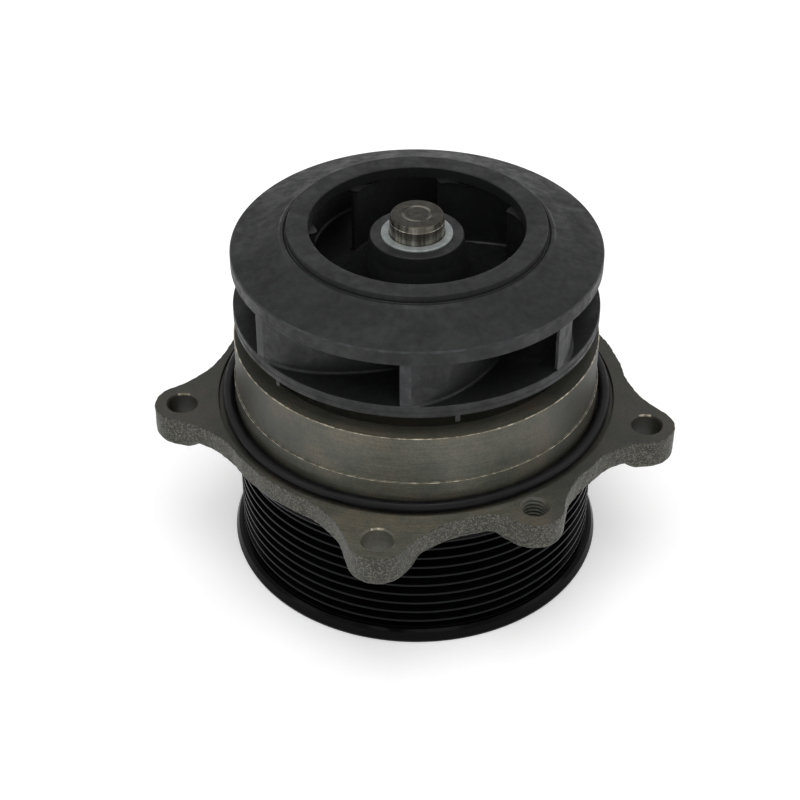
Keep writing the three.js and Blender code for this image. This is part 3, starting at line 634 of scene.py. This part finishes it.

# A face keeps the casting skin unless it is on the flange face, the turned inside, a hole or a pad. The
# spigot's two corners and the back of each bolt hole's rim get a painted highlight.
faces = housing.data.polygons
middle = np.empty(len(faces) * 3)
facing = np.empty(len(faces) * 3)
faces.foreach_get("center", middle)
faces.foreach_get("normal", facing)
x, y, z = middle.reshape(-1, 3).T / MM
upright = facing.reshape(-1, 3)[:, 2]
r = np.hypot(x, y)
machined = (z > FLANGE_TOP - 0.1) & (upright > 0.7)
machined |= (r < GROOVE_R + 0.6) & (z > GROOVE_FLOOR - 0.5) & ((r > POCKET_R + 0.3) | (z > CHAMBER_FLOOR - 1))
machined |= r < ring_r + 0.4
for centre, _, _, pad in bosses:
    near = np.hypot(x - centre[0], y - centre[1])
    machined |= (near < BOLT_HOLE_R + 0.9) | ((near < BOSS_R) & (z < pad + 0.05) & (upright < -0.7))
corner_face = (np.abs(upright) > 0.25) & (np.abs(upright) < 0.97)
# Painted highlight on the spigot's corners and on the back rims of the bolt holes.
edge_highlight = corner_face & (z > SPIGOT_STEP - 0.3) & (z < SPIGOT_STEP + 0.05) & (r > SPIGOT_R)
edge_highlight |= corner_face & (z > housing_high.z - 0.3) & (r > SPIGOT_R - 0.3)
for centre, _, _, pad in bosses:
    near = np.hypot(x - centre[0], y - centre[1])
    back_rim_highlight = (pad == EAR_PAD) & (np.abs(near - BOLT_HOLE_R - 0.3) < 0.4) & (y - centre[1] > 0.92 * near)
    edge_highlight |= corner_face & back_rim_highlight & (z > FLANGE_TOP - 0.6)
kind = np.where(edge_highlight, 2, np.where(machined, 0, 1))
faces.foreach_set("material_index", kind.astype(np.int32))
fit(housing, "pump_body", ["pump_housing"], "cast_iron", machined_iron, cast_skin, painted_edge_highlight)


# ---- Housing O-ring ------------------------------------------
# A 3.5 mm nitrile ring in the corner of flange and spigot, with the thin flash line of its mould.

ring_low, ring_high = corners_of("housing_o_ring")
wire_r = 1.75
ring_mid_r, ring_mid_z = 57.2, (ring_low.z + ring_high.z) / 2
turn = np.linspace(0, 2 * math.pi, 40, endpoint=False)[:, None]
flash = 0.07 * np.exp(-((np.cos(turn - math.radians(62)) - 1) / 0.004) ** 2)
angle = np.linspace(0, 2 * math.pi, 300, endpoint=False)
sway = 0.12 * np.sin(3 * angle + 1) + 0.08 * np.sin(7 * angle)
o_ring = skin("o_ring", [round_grid(
    ring_mid_r + sway + (wire_r + flash) * np.cos(turn),
    ring_mid_z + (wire_r + flash) * np.sin(turn), angle)], ring_section=True)
fit(o_ring, "pump_body", ["housing_o_ring"], "seal_rubber", nitrile)


# ---- Pulley --------------------------------------------------
# Turned from iron and stove enamelled black: ten V grooves of 40 degrees at 3.56 mm pitch, a lip at
# each edge, and a web and hub that are pressed on the shaft.

pulley_low, pulley_high = corners_of("pulley")
LIP_R, CREST_R, ROOT_R = pulley_high.x, 54.65, 51.8
GROOVE_PITCH, GROOVE_COUNT, FIRST_ROOT_Z = 3.56, 10, 4.59
CREST_HALF, ROOT_HALF = 0.34, 0.42
RIM_BORE_R, WEB_TOP, WEB_BOTTOM, HUB_R, HUB_TOP = 47.5, 12, 6.5, 14, 20.5

# Black stove enamel: a glossy skin whose orange peel is 0.8 mm across, with a painted highlight in grey on
# the groove crests, and dulled by dust in patches of 7 mm.
enamel, tree, shader, place = finish("black stove enamel", Roughness=0.25, Specular_IOR_Level=0.07)
peel = add(tree, "ShaderNodeTexNoise", {"Vector": place, "Scale": 1 / (0.8 * MM), "Detail": 2})
dust = add(tree, "ShaderNodeTexNoise", {"Vector": place, "Scale": 1 / (7 * MM), "Detail": 5})
radius = off_axis(tree, place)
# Painted highlight: the groove crests are painted a lighter grey, and the lips are left black.
crest_highlight = add(tree, "ShaderNodeMapRange", {
    "Value": radius, "From Min": (CREST_R - 0.2) * MM, "From Max": (CREST_R - 0.03) * MM})
below_lips = add(tree, "ShaderNodeMath", {0: radius, 1: (CREST_R + 0.1) * MM}, operation="LESS_THAN")
ring_wear_and_crest_highlight = add(tree, "ShaderNodeMath", {0: crest_highlight.outputs[0], 1: below_lips.outputs[0]}, operation="MULTIPLY")
paint = between(tree, dust.outputs["Fac"], (0.35, "#030303"), (0.7, "#070708"))
mix = add(tree, "ShaderNodeMix", {0: ring_wear_and_crest_highlight.outputs[0], 6: paint, 7: linear("#151617")}, data_type="RGBA")
skin_over(tree, shader, mix.outputs[2], peel.outputs["Fac"], 0.2, 0.03,
          worn=dust.outputs["Fac"], roughness=(0.1, 0.26))

grooves = []
for k in range(GROOVE_COUNT):
    root = FIRST_ROOT_Z + GROOVE_PITCH * k
    grooves += [[ROOT_R, root - ROOT_HALF, 0.35], [ROOT_R, root + ROOT_HALF, 0.35]]
    if k < GROOVE_COUNT - 1:
        ridge = root + GROOVE_PITCH / 2
        grooves += [[CREST_R, ridge - CREST_HALF, 0.18], [CREST_R, ridge + CREST_HALF, 0.18]]
top = pulley_high.z
last_root = FIRST_ROOT_Z + GROOVE_PITCH * (GROOVE_COUNT - 1)
hub_bore = shaft_r + 0.03
pulley = turned("belt_pulley", [
    [hub_bore, pulley_low.z + 4.5, 0.4],
    [HUB_R - 1, 4.5, 0.6],
    [HUB_R + 1, WEB_BOTTOM, 1.2],
    [RIM_BORE_R - 4, WEB_BOTTOM, 4],
    [RIM_BORE_R + 3, pulley_low.z, 0.8],
    [LIP_R - 0.25, pulley_low.z, 0.3],
    [LIP_R, 0.9, 0.4],
    [LIP_R - 0.9, 3.1, 0.5],
    [LIP_R - 1.9, 3.85, 0.4],
    *grooves,
    [LIP_R - 1.9, last_root + 2.75, 0.3],
    [LIP_R - 0.6, top - 2.3, 0.5],
    [LIP_R, top - 0.9, 0.4],
    [LIP_R - 0.25, top, 0.3],
    [RIM_BORE_R + 1, top, 0.5],
    [RIM_BORE_R, top - 1, 0.5],
    [RIM_BORE_R, WEB_TOP + 2, 3],
    [RIM_BORE_R - 5, WEB_TOP, 3],
    [HUB_R + 4, WEB_TOP, 3],
    [HUB_R, WEB_TOP + 4, 3],
    [HUB_R, HUB_TOP, 0.6],
    [hub_bore, HUB_TOP, 0.4],
], columns=360)
fit(pulley, "rotor", ["pulley"], "pulley_paint", enamel)


# ---- Shaft seal ----------------------------------------------
# A brass case pressed into the housing holds a rubber bellows, and its spring pushes a carbon ring on
# the ceramic seat that turns with the shaft in a rubber boot. The slinger below throws off any leak.

# Drawn brass: draw lines 0.3 mm apart and slight brown tarnish in patches of 4 mm.
brass, tree, shader, place = finish("drawn brass", Metallic=1, Roughness=0.3)
tarnish = add(tree, "ShaderNodeTexNoise", {"Vector": place, "Scale": 1 / (4 * MM), "Detail": 4})
draw = add(tree, "ShaderNodeTexNoise", {
    "Vector": lathe_place(tree, place, 1 / (0.3 * MM), 60), "Scale": 1, "Detail": 2})
colour = between(tree, tarnish.outputs["Fac"], (0.35, "#8c6a35"), (0.6, "#b8944f"))
skin_over(tree, shader, colour, draw.outputs["Fac"], 0.3, 0.02)

# Resin-bonded carbon graphite: dull black grey with grains of 0.2 mm.
carbon, tree, shader, place = finish("carbon graphite", Roughness=0.5)
grains = add(tree, "ShaderNodeTexNoise", {"Vector": place, "Scale": 1 / (0.2 * MM), "Detail": 2})
colour = between(tree, grains.outputs["Fac"], (0.4, "#1c1c1f"), (0.7, "#36363a"))
skin_over(tree, shader, colour, grains.outputs["Fac"], 0.2, 0.02)

# Sintered alumina: ivory, close and smooth, with faint clouding 3 mm across.
alumina, tree, shader, place = finish("sintered alumina", Roughness=0.25, Coat_Weight=0.2)
cloud = add(tree, "ShaderNodeTexNoise", {"Vector": place, "Scale": 1 / (3 * MM), "Detail": 3})
tree.links.new(between(tree, cloud.outputs["Fac"], (0.3, "#dbd4c4"), (0.7, "#ece7db")),
               shader.inputs["Base Color"])

low, high = corners_of("water_slinger")
collar_r, vane_top = 9.4, low.z + 0.7
slinger = turned("slinger", [
    [shaft_r + 0.05, low.z, 0.15], [high.x, low.z, 0.2], [high.x, vane_top, 0.2],
    [collar_r, vane_top, 0.3], [collar_r, high.z, 0.2], [shaft_r + 0.05, high.z, 0.15]])
fit(slinger, "rotor", ["water_slinger"], "seal_rubber", nitrile)

low, high = corners_of("seal_case")
case_r, mouth_r, wall = 18.0, 10.2, 0.8
case = turned("seal_can", [
    [mouth_r, low.z, 0.25], [case_r, low.z, 0.9], [case_r, high.z - wall, 0.1], [high.x, high.z - wall, 0.2],
    [high.x, high.z, 0.2], [case_r - wall, high.z, 0.7], [case_r - wall, low.z + wall, 0.5],
    [mouth_r, low.z + wall, 0.25]])
fit(case, "pump_body", ["seal_case"], "seal_brass", brass)

low, high = corners_of("seal_bellows")
bellows_r, bellows_bore_r, waist = 12.9, 10.4, 69.4
bellows = turned("bellows", [
    [bellows_bore_r, low.z, 0.3], [bellows_r, low.z, 0.4],
    [bellows_r, waist - 1.2, 0.4], [bellows_r - 1, waist, 0.6], [bellows_r, waist + 1.4, 0.4],
    [bellows_r, high.z, 0.4], [bellows_bore_r, high.z, 0.3],
    [bellows_bore_r, waist + 1.4, 0.4], [bellows_bore_r + 0.5, waist, 0.6],
    [bellows_bore_r, waist - 1.2, 0.4]])
fit(bellows, "pump_body", ["seal_bellows"], "seal_rubber", nitrile, grips=(low.z + 0.8, high.z - 1.2))

# The spring's wire is a circle carried up a helix, closed by a point at each end.
low, high = corners_of("seal_spring")
spring_wire, spring_turns = 0.8, 3
spring_r = high.x - spring_wire
along = np.linspace(0, 1, 180)[:, None]
sweep = 2 * math.pi * spring_turns * along
turn = np.linspace(0, 2 * math.pi, 16, endpoint=False)
thick = spring_wire * np.where((along > 0) & (along < 1), 1.0, 0.0)
lift = low.z + spring_wire + (high.z - low.z - 2 * spring_wire) * along
spring = skin("spring", [round_grid(
    spring_r + thick * np.cos(turn), lift + thick * np.sin(turn), sweep)])
fit(spring, "pump_body", ["seal_spring"], "shaft_steel", ground_steel, grips=(low.z + 0.8, high.z - 0.9))

low, high = corners_of("seal_carbon_ring")
carbon_bore_r, face_r, collar_top = 10, 12.8, low.z + 1.6
carbon_ring = turned("carbon_face", [
    [carbon_bore_r, low.z, 0.2], [high.x, low.z, 0.3], [high.x, collar_top, 0.3], [face_r, collar_top, 0.2],
    [face_r, high.z, 0.1], [carbon_bore_r, high.z, 0.1]])
fit(carbon_ring, "seal_face", ["seal_carbon_ring"], "seal_carbon", carbon)

low, high = corners_of("seal_seat")
seat_bore_r = 9.7
seat = turned("ceramic_seat", [
    [seat_bore_r, low.z, 0.1], [high.x, low.z, 0.2], [high.x, high.z, 0.4], [seat_bore_r, high.z, 0.4]])
fit(seat, "rotor", ["seal_seat"], "seal_ceramic", alumina)

low, high = corners_of("seal_seat_boot")
sleeve_r = seat_bore_r - 0.25
boot = turned("seat_boot", [
    [shaft_r + 0.05, low.z, 0.2], [sleeve_r, low.z, 0.2], [sleeve_r, high.z - 0.9, 0.2],
    [high.x, high.z - 0.9, 0.2], [high.x, high.z, 0.3], [shaft_r + 0.05, high.z, 0.2]])
fit(boot, "rotor", ["seal_seat_boot"], "seal_rubber", nitrile)


# ---- Impeller disc -------------------------------------------
# Moulded in one piece from glass-filled nylon over the steel bush: a disc that rises to the hub, seven
# backward-curved vanes with filleted feet, and six short ribs on its back that keep the seal flushed.

# Glass-filled nylon: satin charcoal, clouded by fibres near the skin in patches 9 mm and 2.5 mm wide,
# over a fine grain of 0.25 mm.
filled_nylon, tree, shader, place = finish("glass filled nylon", Roughness=0.45, Specular_IOR_Level=0.36)
cloud = add(tree, "ShaderNodeTexNoise", {
    "Vector": place, "Scale": 1 / (9 * MM), "Detail": 5, "Roughness": 0.6, "Distortion": 0.6})
fibre = add(tree, "ShaderNodeTexNoise", {"Vector": place, "Scale": 1 / (0.25 * MM), "Detail": 2})
blotch = add(tree, "ShaderNodeTexNoise", {
    "Vector": place, "Scale": 1 / (2.5 * MM), "Detail": 4, "Roughness": 0.65})
clouds = add(tree, "ShaderNodeMix", {0: 0.45, 2: cloud.outputs["Fac"], 3: blotch.outputs["Fac"]})
colour = between(tree, clouds.outputs[0], (0.38, "#070808"), (0.5, "#101111"), (0.62, "#1c1d1e"))
skin_over(tree, shader, colour, fibre.outputs["Fac"], 0.3, 0.02)
satin = add(tree, "ShaderNodeMapRange", {
    "Value": clouds.outputs[0], "From Min": 0.38, "From Max": 0.62, "To Min": 0.64, "To Max": 0.38})
tree.links.new(satin.outputs[0], shader.inputs["Roughness"])

# The same nylon with a painted highlight on its edges: a paler satin grey, broken every 3 mm.
nylon_edge_highlight, tree, shader, place = finish("nylon painted edge highlight", Roughness=0.5, Specular_IOR_Level=0.4)
broken = add(tree, "ShaderNodeTexNoise", {"Vector": place, "Scale": 1 / (3 * MM), "Detail": 4})
colour = between(tree, broken.outputs["Fac"], (0.35, "#17181a"), (0.5, "#212224"), (0.65, "#303133"))
skin_over(tree, shader, colour, broken.outputs["Fac"], 0.3, 0.05)

disc_low, disc_high = corners_of("impeller_rear_disc")
shroud_low, shroud_high = corners_of("impeller_front_shroud")
bush_low, bush_high = corners_of("impeller_bush")
IMPELLER_R, BUSH_R = shroud_high.x, bush_high.x
DISC_TOP, DISC_BOTTOM, HUB_TIP, MOULD_LINE = 86.2, 82.4, disc_high.z, 84.35
EYE_R, EYE_EDGE, EYE_FLARE_R, EYE_FLARE_Z, RIM_UNDER = 31.3, 107.6, 33.3, 106.7, shroud_low.z
TIP_CHAMFER, JOINT_BUMP, JOINT_HALF = 0.22, 0.22, 0.5
HUB_FLARE = [[34, DISC_TOP], [26, DISC_TOP + 1.2], [19.5, DISC_TOP + 5], [15.8, DISC_TOP + 11],
             [14.2, DISC_TOP + 17]]
disc = turned("impeller_disc", [
    [BUSH_R, DISC_BOTTOM, 0.2],
    [IMPELLER_R, DISC_BOTTOM, 0.4],
    [IMPELLER_R, MOULD_LINE - 0.35, 0.05],
    [IMPELLER_R - 0.12, MOULD_LINE - 0.2, 0.05],
    [IMPELLER_R - 0.12, MOULD_LINE + 0.2, 0.05],
    [IMPELLER_R, MOULD_LINE + 0.35, 0.05],
    [IMPELLER_R, DISC_TOP, 0.35],
    *[[r, z, 6] for r, z in HUB_FLARE],
    [13.58, HUB_TIP, 0.5],
    [BUSH_R, HUB_TIP, 0.15],
], columns=240, steps=4)


def sideways(line):
    """Unit vectors square to a line, on its left."""
    along = np.gradient(line, axis=0)
    along /= np.linalg.norm(along, axis=1)[:, None]
    return np.stack([-along[:, 1], along[:, 0]], axis=1)


def blade(line, low, high, half, low_bend, high_bend, nose):
    """A wall standing on a centre line, as a grid of closed sections from low to high. Its half
    thickness grows by a quarter circle of low_bend at its foot and high_bend at its head, or shrinks by
    one where the bend is negative. A wall with a nose falls to nothing as a half circle at the end of
    its line, and has a chamfer and the bump of a mould joint at its start."""
    across, half = sideways(line), np.broadcast_to(half, len(line))
    steps = np.linalg.norm(np.diff(line, axis=0), axis=1)
    to_end = np.concatenate([np.cumsum(steps[::-1])[::-1], [0]])
    blunt = np.sqrt(1 - (1 - np.clip(to_end / half, 0, 1)) ** 2) if nose else np.ones(len(line))
    heights, halves = [], []
    for wall, bend, sign in ((low, low_bend, 1), (high, high_bend, -1)):
        size = abs(bend)
        from_wall = size * (1 - np.cos(np.linspace(0, math.pi / 2, 6)))
        grown = size - np.sqrt(size ** 2 - (size - from_wall) ** 2)
        from_wall = np.concatenate([[-0.3 if bend > 0 else 0], from_wall])
        grown = np.concatenate([grown[:1], grown])
        order = slice(None) if sign > 0 else slice(None, None, -1)
        heights.append(wall[None, :] + sign * from_wall[order, None])
        halves.append(half + math.copysign(1, bend) * grown[order, None])
    joint = JOINT_HALF * np.linspace(-1, 1, 5)
    joint_z = high - (high - low) * 0.34
    heights.insert(1, joint_z[None, :] + joint[:, None])
    halves.insert(1, half + 0 * joint[:, None])
    z, half_rows = np.concatenate(heights), np.concatenate(halves)
    z = np.concatenate([z[:1], z, z[-1:]])
    half_rows = np.concatenate([0 * half_rows[:1], half_rows, 0 * half_rows[:1]]) * blunt
    if nose:
        half_rows[:, 0] = np.maximum(half_rows[:, 0] - TIP_CHAMFER, 0)
        from_tip = np.concatenate([[0], np.cumsum(steps)])
        swell = np.cos(np.clip((z - joint_z) / JOINT_HALF, -1, 1) * math.pi / 2)
        half_rows += JOINT_BUMP * swell * np.exp(-(from_tip / 4) ** 2)
    shift = across[None] * half_rows[..., None]
    sides = np.concatenate([line + shift, (line - shift)[:, ::-1]], axis=1)
    far = np.maximum(np.linalg.norm(sides, axis=2, keepdims=True) / (IMPELLER_R - 0.1), 1)
    return np.concatenate([sides / far, np.concatenate([z, z[:, ::-1]], axis=1)[..., None]], axis=2)


def mark_edges(piece, chosen):
    """Gives the second material to the faces that chosen picks from their radius, their height and how
    much they face up."""
    faces = piece.data.polygons
    middle = np.array([face.center for face in faces]) / MM
    facing = np.array([face.normal for face in faces])
    picked = chosen(np.hypot(middle[:, 0], middle[:, 1]), middle[:, 2], facing[:, 2])
    faces.foreach_set("material_index", picked.astype(np.int32))


def turned_by(grid, angle):
    """The grid turned round Z by an angle in radians."""
    c, s = math.cos(angle), math.sin(angle)
    return grid @ np.array([[c, s, 0], [-s, c, 0], [0, 0, 1]])


# The camber's wrap angle is the fourth-power curve of the radius that fits nine stations best.
CAMBER_R = [53.6, 51, 48, 45, 42, 39, 36, 33, 30]
CAMBER_WRAP = [0.5, 9.5, 16.5, 23, 30, 38, 47, 57, 70]
VANE_HALF, VANE_COUNT, FIRST_TIP = 0.95, 7, math.radians(-146.3)
camber = np.polyfit(CAMBER_R, CAMBER_WRAP, 4)
nose_steps = CAMBER_R[-1] + np.array([0.36, 0.24, 0.14, 0.06, 0.015, 0])
station = np.concatenate([[53.9], np.linspace(53.72, 30.5, 34), nose_steps])
wrap = np.radians(np.polyval(camber, station))
line = np.stack([station * np.cos(wrap), station * np.sin(wrap)], axis=1)
flare = np.array(HUB_FLARE[::-1])
foot = np.interp(station, flare[:, 0], flare[:, 1])
under = np.interp(station, [EYE_R, EYE_FLARE_R, IMPELLER_R - 0.05], [EYE_EDGE, EYE_FLARE_Z, RIM_UNDER])
# The outer side thins over the last 9 mm, so that it meets the rim in a narrower strip.
from_tip = np.concatenate([[0], np.cumsum(np.linalg.norm(np.diff(line, axis=0), axis=1))])
outer_half = VANE_HALF - 0.4 * (1 - smooth(from_tip / 9))
line = line + sideways(line) * (VANE_HALF - outer_half)[:, None] / 2
vane = blade(line, foot, under, (VANE_HALF + outer_half) / 2, 0.9, 0.8, nose=True)
vanes = [turned_by(vane, FIRST_TIP + k * 2 * math.pi / VANE_COUNT) for k in range(VANE_COUNT)]
cut_by(disc, skin("vanes", vanes), "UNION")

BACK_RIB_ANGLE, BACK_RIB_COUNT, BACK_RIB_START, BACK_RIB_END = math.radians(-78), 6, 52.8, 24
reach = np.concatenate([
    np.linspace(BACK_RIB_START, BACK_RIB_END + 0.7, 12), BACK_RIB_END + np.array([0.4, 0.2, 0.06, 0])])
straight = np.stack([reach, 0 * reach], axis=1)
back_rib = blade(straight, np.full(len(reach), disc_low.z), np.full(len(reach), DISC_BOTTOM), 0.7, -0.3,
                 0.5, nose=False)
ribs = [turned_by(back_rib, BACK_RIB_ANGLE + k * 2 * math.pi / BACK_RIB_COUNT)
        for k in range(BACK_RIB_COUNT)]
cut_by(disc, skin("back_ribs", ribs), "UNION")


def disc_edge(r, z, up):
    """The disc's two rim corners and the ends of the vanes, which get the painted edge highlight."""
    rim = (r > IMPELLER_R - 0.45) & (np.abs(up) > 0.25) & (np.abs(up) < 0.97)
    rim &= (np.abs(z - DISC_TOP) < 0.4) | (np.abs(z - DISC_BOTTOM) < 0.4)
    tip = (r > IMPELLER_R - 0.3) & (z > DISC_TOP + 0.3) & (np.abs(up) < 0.5)
    return rim | tip


mark_edges(disc, disc_edge)
fit(disc, "rotor", ["impeller_rear_disc"], "impeller_nylon", filled_nylon, nylon_edge_highlight)


# ---- Impeller shroud -----------------------------------------
# A second moulding, a shallow cone with a raised ring round the eye, welded to the heads of the vanes.

shroud = turned("impeller_shroud", [
    [EYE_R, EYE_EDGE, 0.3],
    [EYE_FLARE_R, EYE_FLARE_Z, 0.8],
    [IMPELLER_R - 0.05, RIM_UNDER, 0.25],
    [IMPELLER_R, shroud_low.z + 0.2, 0.2],
    [IMPELLER_R, 104.15, 0.25],
    [53.65, 104.55, 0.25],
    [40.0, 108.95, 0.5],
    [39.3, 109.6, 0.45],
    [38.6, 109.65, 0.4],
    [38.0, 109.15, 0.15],
    [37.75, 109.3, 0.1],
    [37.5, shroud_high.z, 0.3],
    [EYE_R, shroud_high.z, 0.5],
], columns=300, steps=4)
# The shroud's rim corners get the painted edge highlight.
mark_edges(shroud, lambda r, z, up: (r > IMPELLER_R - 0.9) & (np.abs(up) > 0.2) & (np.abs(up) < 0.94))
fit(shroud, "rotor", ["impeller_front_shroud"], "impeller_nylon", filled_nylon, nylon_edge_highlight)


# ---- Impeller bush -------------------------------------------
# A turned steel bush, zinc plated and pale, moulded into the hub and pressed on the shaft.

# Bright zinc plate over turned steel: bluish grey, rings 0.3 mm apart, dulled in small clouds.
zinc, tree, shader, place = finish("zinc plated steel", Metallic=0.5, Roughness=0.5)
rings = add(tree, "ShaderNodeTexNoise", {
    "Vector": lathe_place(tree, place, 1 / (0.3 * MM), 50), "Scale": 1, "Detail": 3})
cloud = add(tree, "ShaderNodeTexNoise", {"Vector": place, "Scale": 1 / (2 * MM), "Detail": 4})
colour = between(tree, cloud.outputs["Fac"], (0.3, "#7c8282"), (0.7, "#979c9b"))
skin_over(tree, shader, colour, rings.outputs["Fac"], 0.25, 0.02)

bush = turned("steel_bush", [
    [shaft_r + 0.06, bush_low.z, 0.15], [BUSH_R - 0.03, bush_low.z, 0.2], [BUSH_R - 0.03, bush_high.z, 0.4],
    [shaft_r + 0.3, bush_high.z, 0.1], [shaft_r + 0.06, bush_high.z - 0.25, 0.05]])
fit(bush, "rotor", ["impeller_bush"], "zinc_steel", zinc)


# ---- Studio --------------------------------------------------
# A back-lit white table in a light tent, with large soft lamps left, right, above and in front.

# Opal acrylic: matt, lit from below, with faint unevenness 4 mm across.
acrylic, tree, shader, place = finish("opal acrylic table", Roughness=0.9, Specular_IOR_Level=0.1,
                                      Emission_Color=(1, 1, 1, 1), Emission_Strength=0.22)
cloud = add(tree, "ShaderNodeTexNoise", {"Vector": place, "Scale": 1 / (4 * MM), "Detail": 2})
tree.links.new(between(tree, cloud.outputs["Fac"], (0.3, "#fafafa"), (0.7, "#fcfcfc")),
               shader.inputs["Base Color"])
floor_mesh = bpy.data.meshes.new("floor")
floor_mesh.from_pydata([(-4, -4, 0), (4, -4, 0), (4, 4, 0), (-4, 4, 0)], [], [(0, 1, 2, 3)])
floor_mesh.materials.append(acrylic)
floor = bpy.data.objects.new("floor", floor_mesh)
scene.collection.objects.link(floor)
floor.location.z = cad_low.z
floor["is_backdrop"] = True

world = bpy.data.worlds.new("light tent")
scene.world = world
world.use_nodes = True
world.node_tree.nodes["Background"].inputs["Color"].default_value = (1, 1, 1, 1)
world.node_tree.nodes["Background"].inputs["Strength"].default_value = 0.7

# Each lamp: its name, place and size in metres, and power in watts; it faces the impeller.
for name, place, size, power in (
    ("left lamp", (-0.8, -0.35, 0.6), 0.5, 1.1),
    ("right lamp", (0.85, -0.1, 0.55), 0.5, 1),
    ("top lamp", (0, -0.25, 1.1), 0.7, 3.6),
    ("front lamp", (0.1, -1.0, 0.45), 0.5, 0.4),
):
    data = bpy.data.lights.new(name, "AREA")
    data.size = size
    data.energy = power
    lamp = bpy.data.objects.new(name, data)
    lamp.location = place
    to_pump = -lamp.location
    to_pump.z += 0.08
    lamp.rotation_euler = to_pump.to_track_quat("-Z", "Y").to_euler()
    scene.collection.objects.link(lamp)
scene.view_settings.view_transform = "Standard"


# ---- Sizes ---------------------------------------------------

low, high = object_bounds()
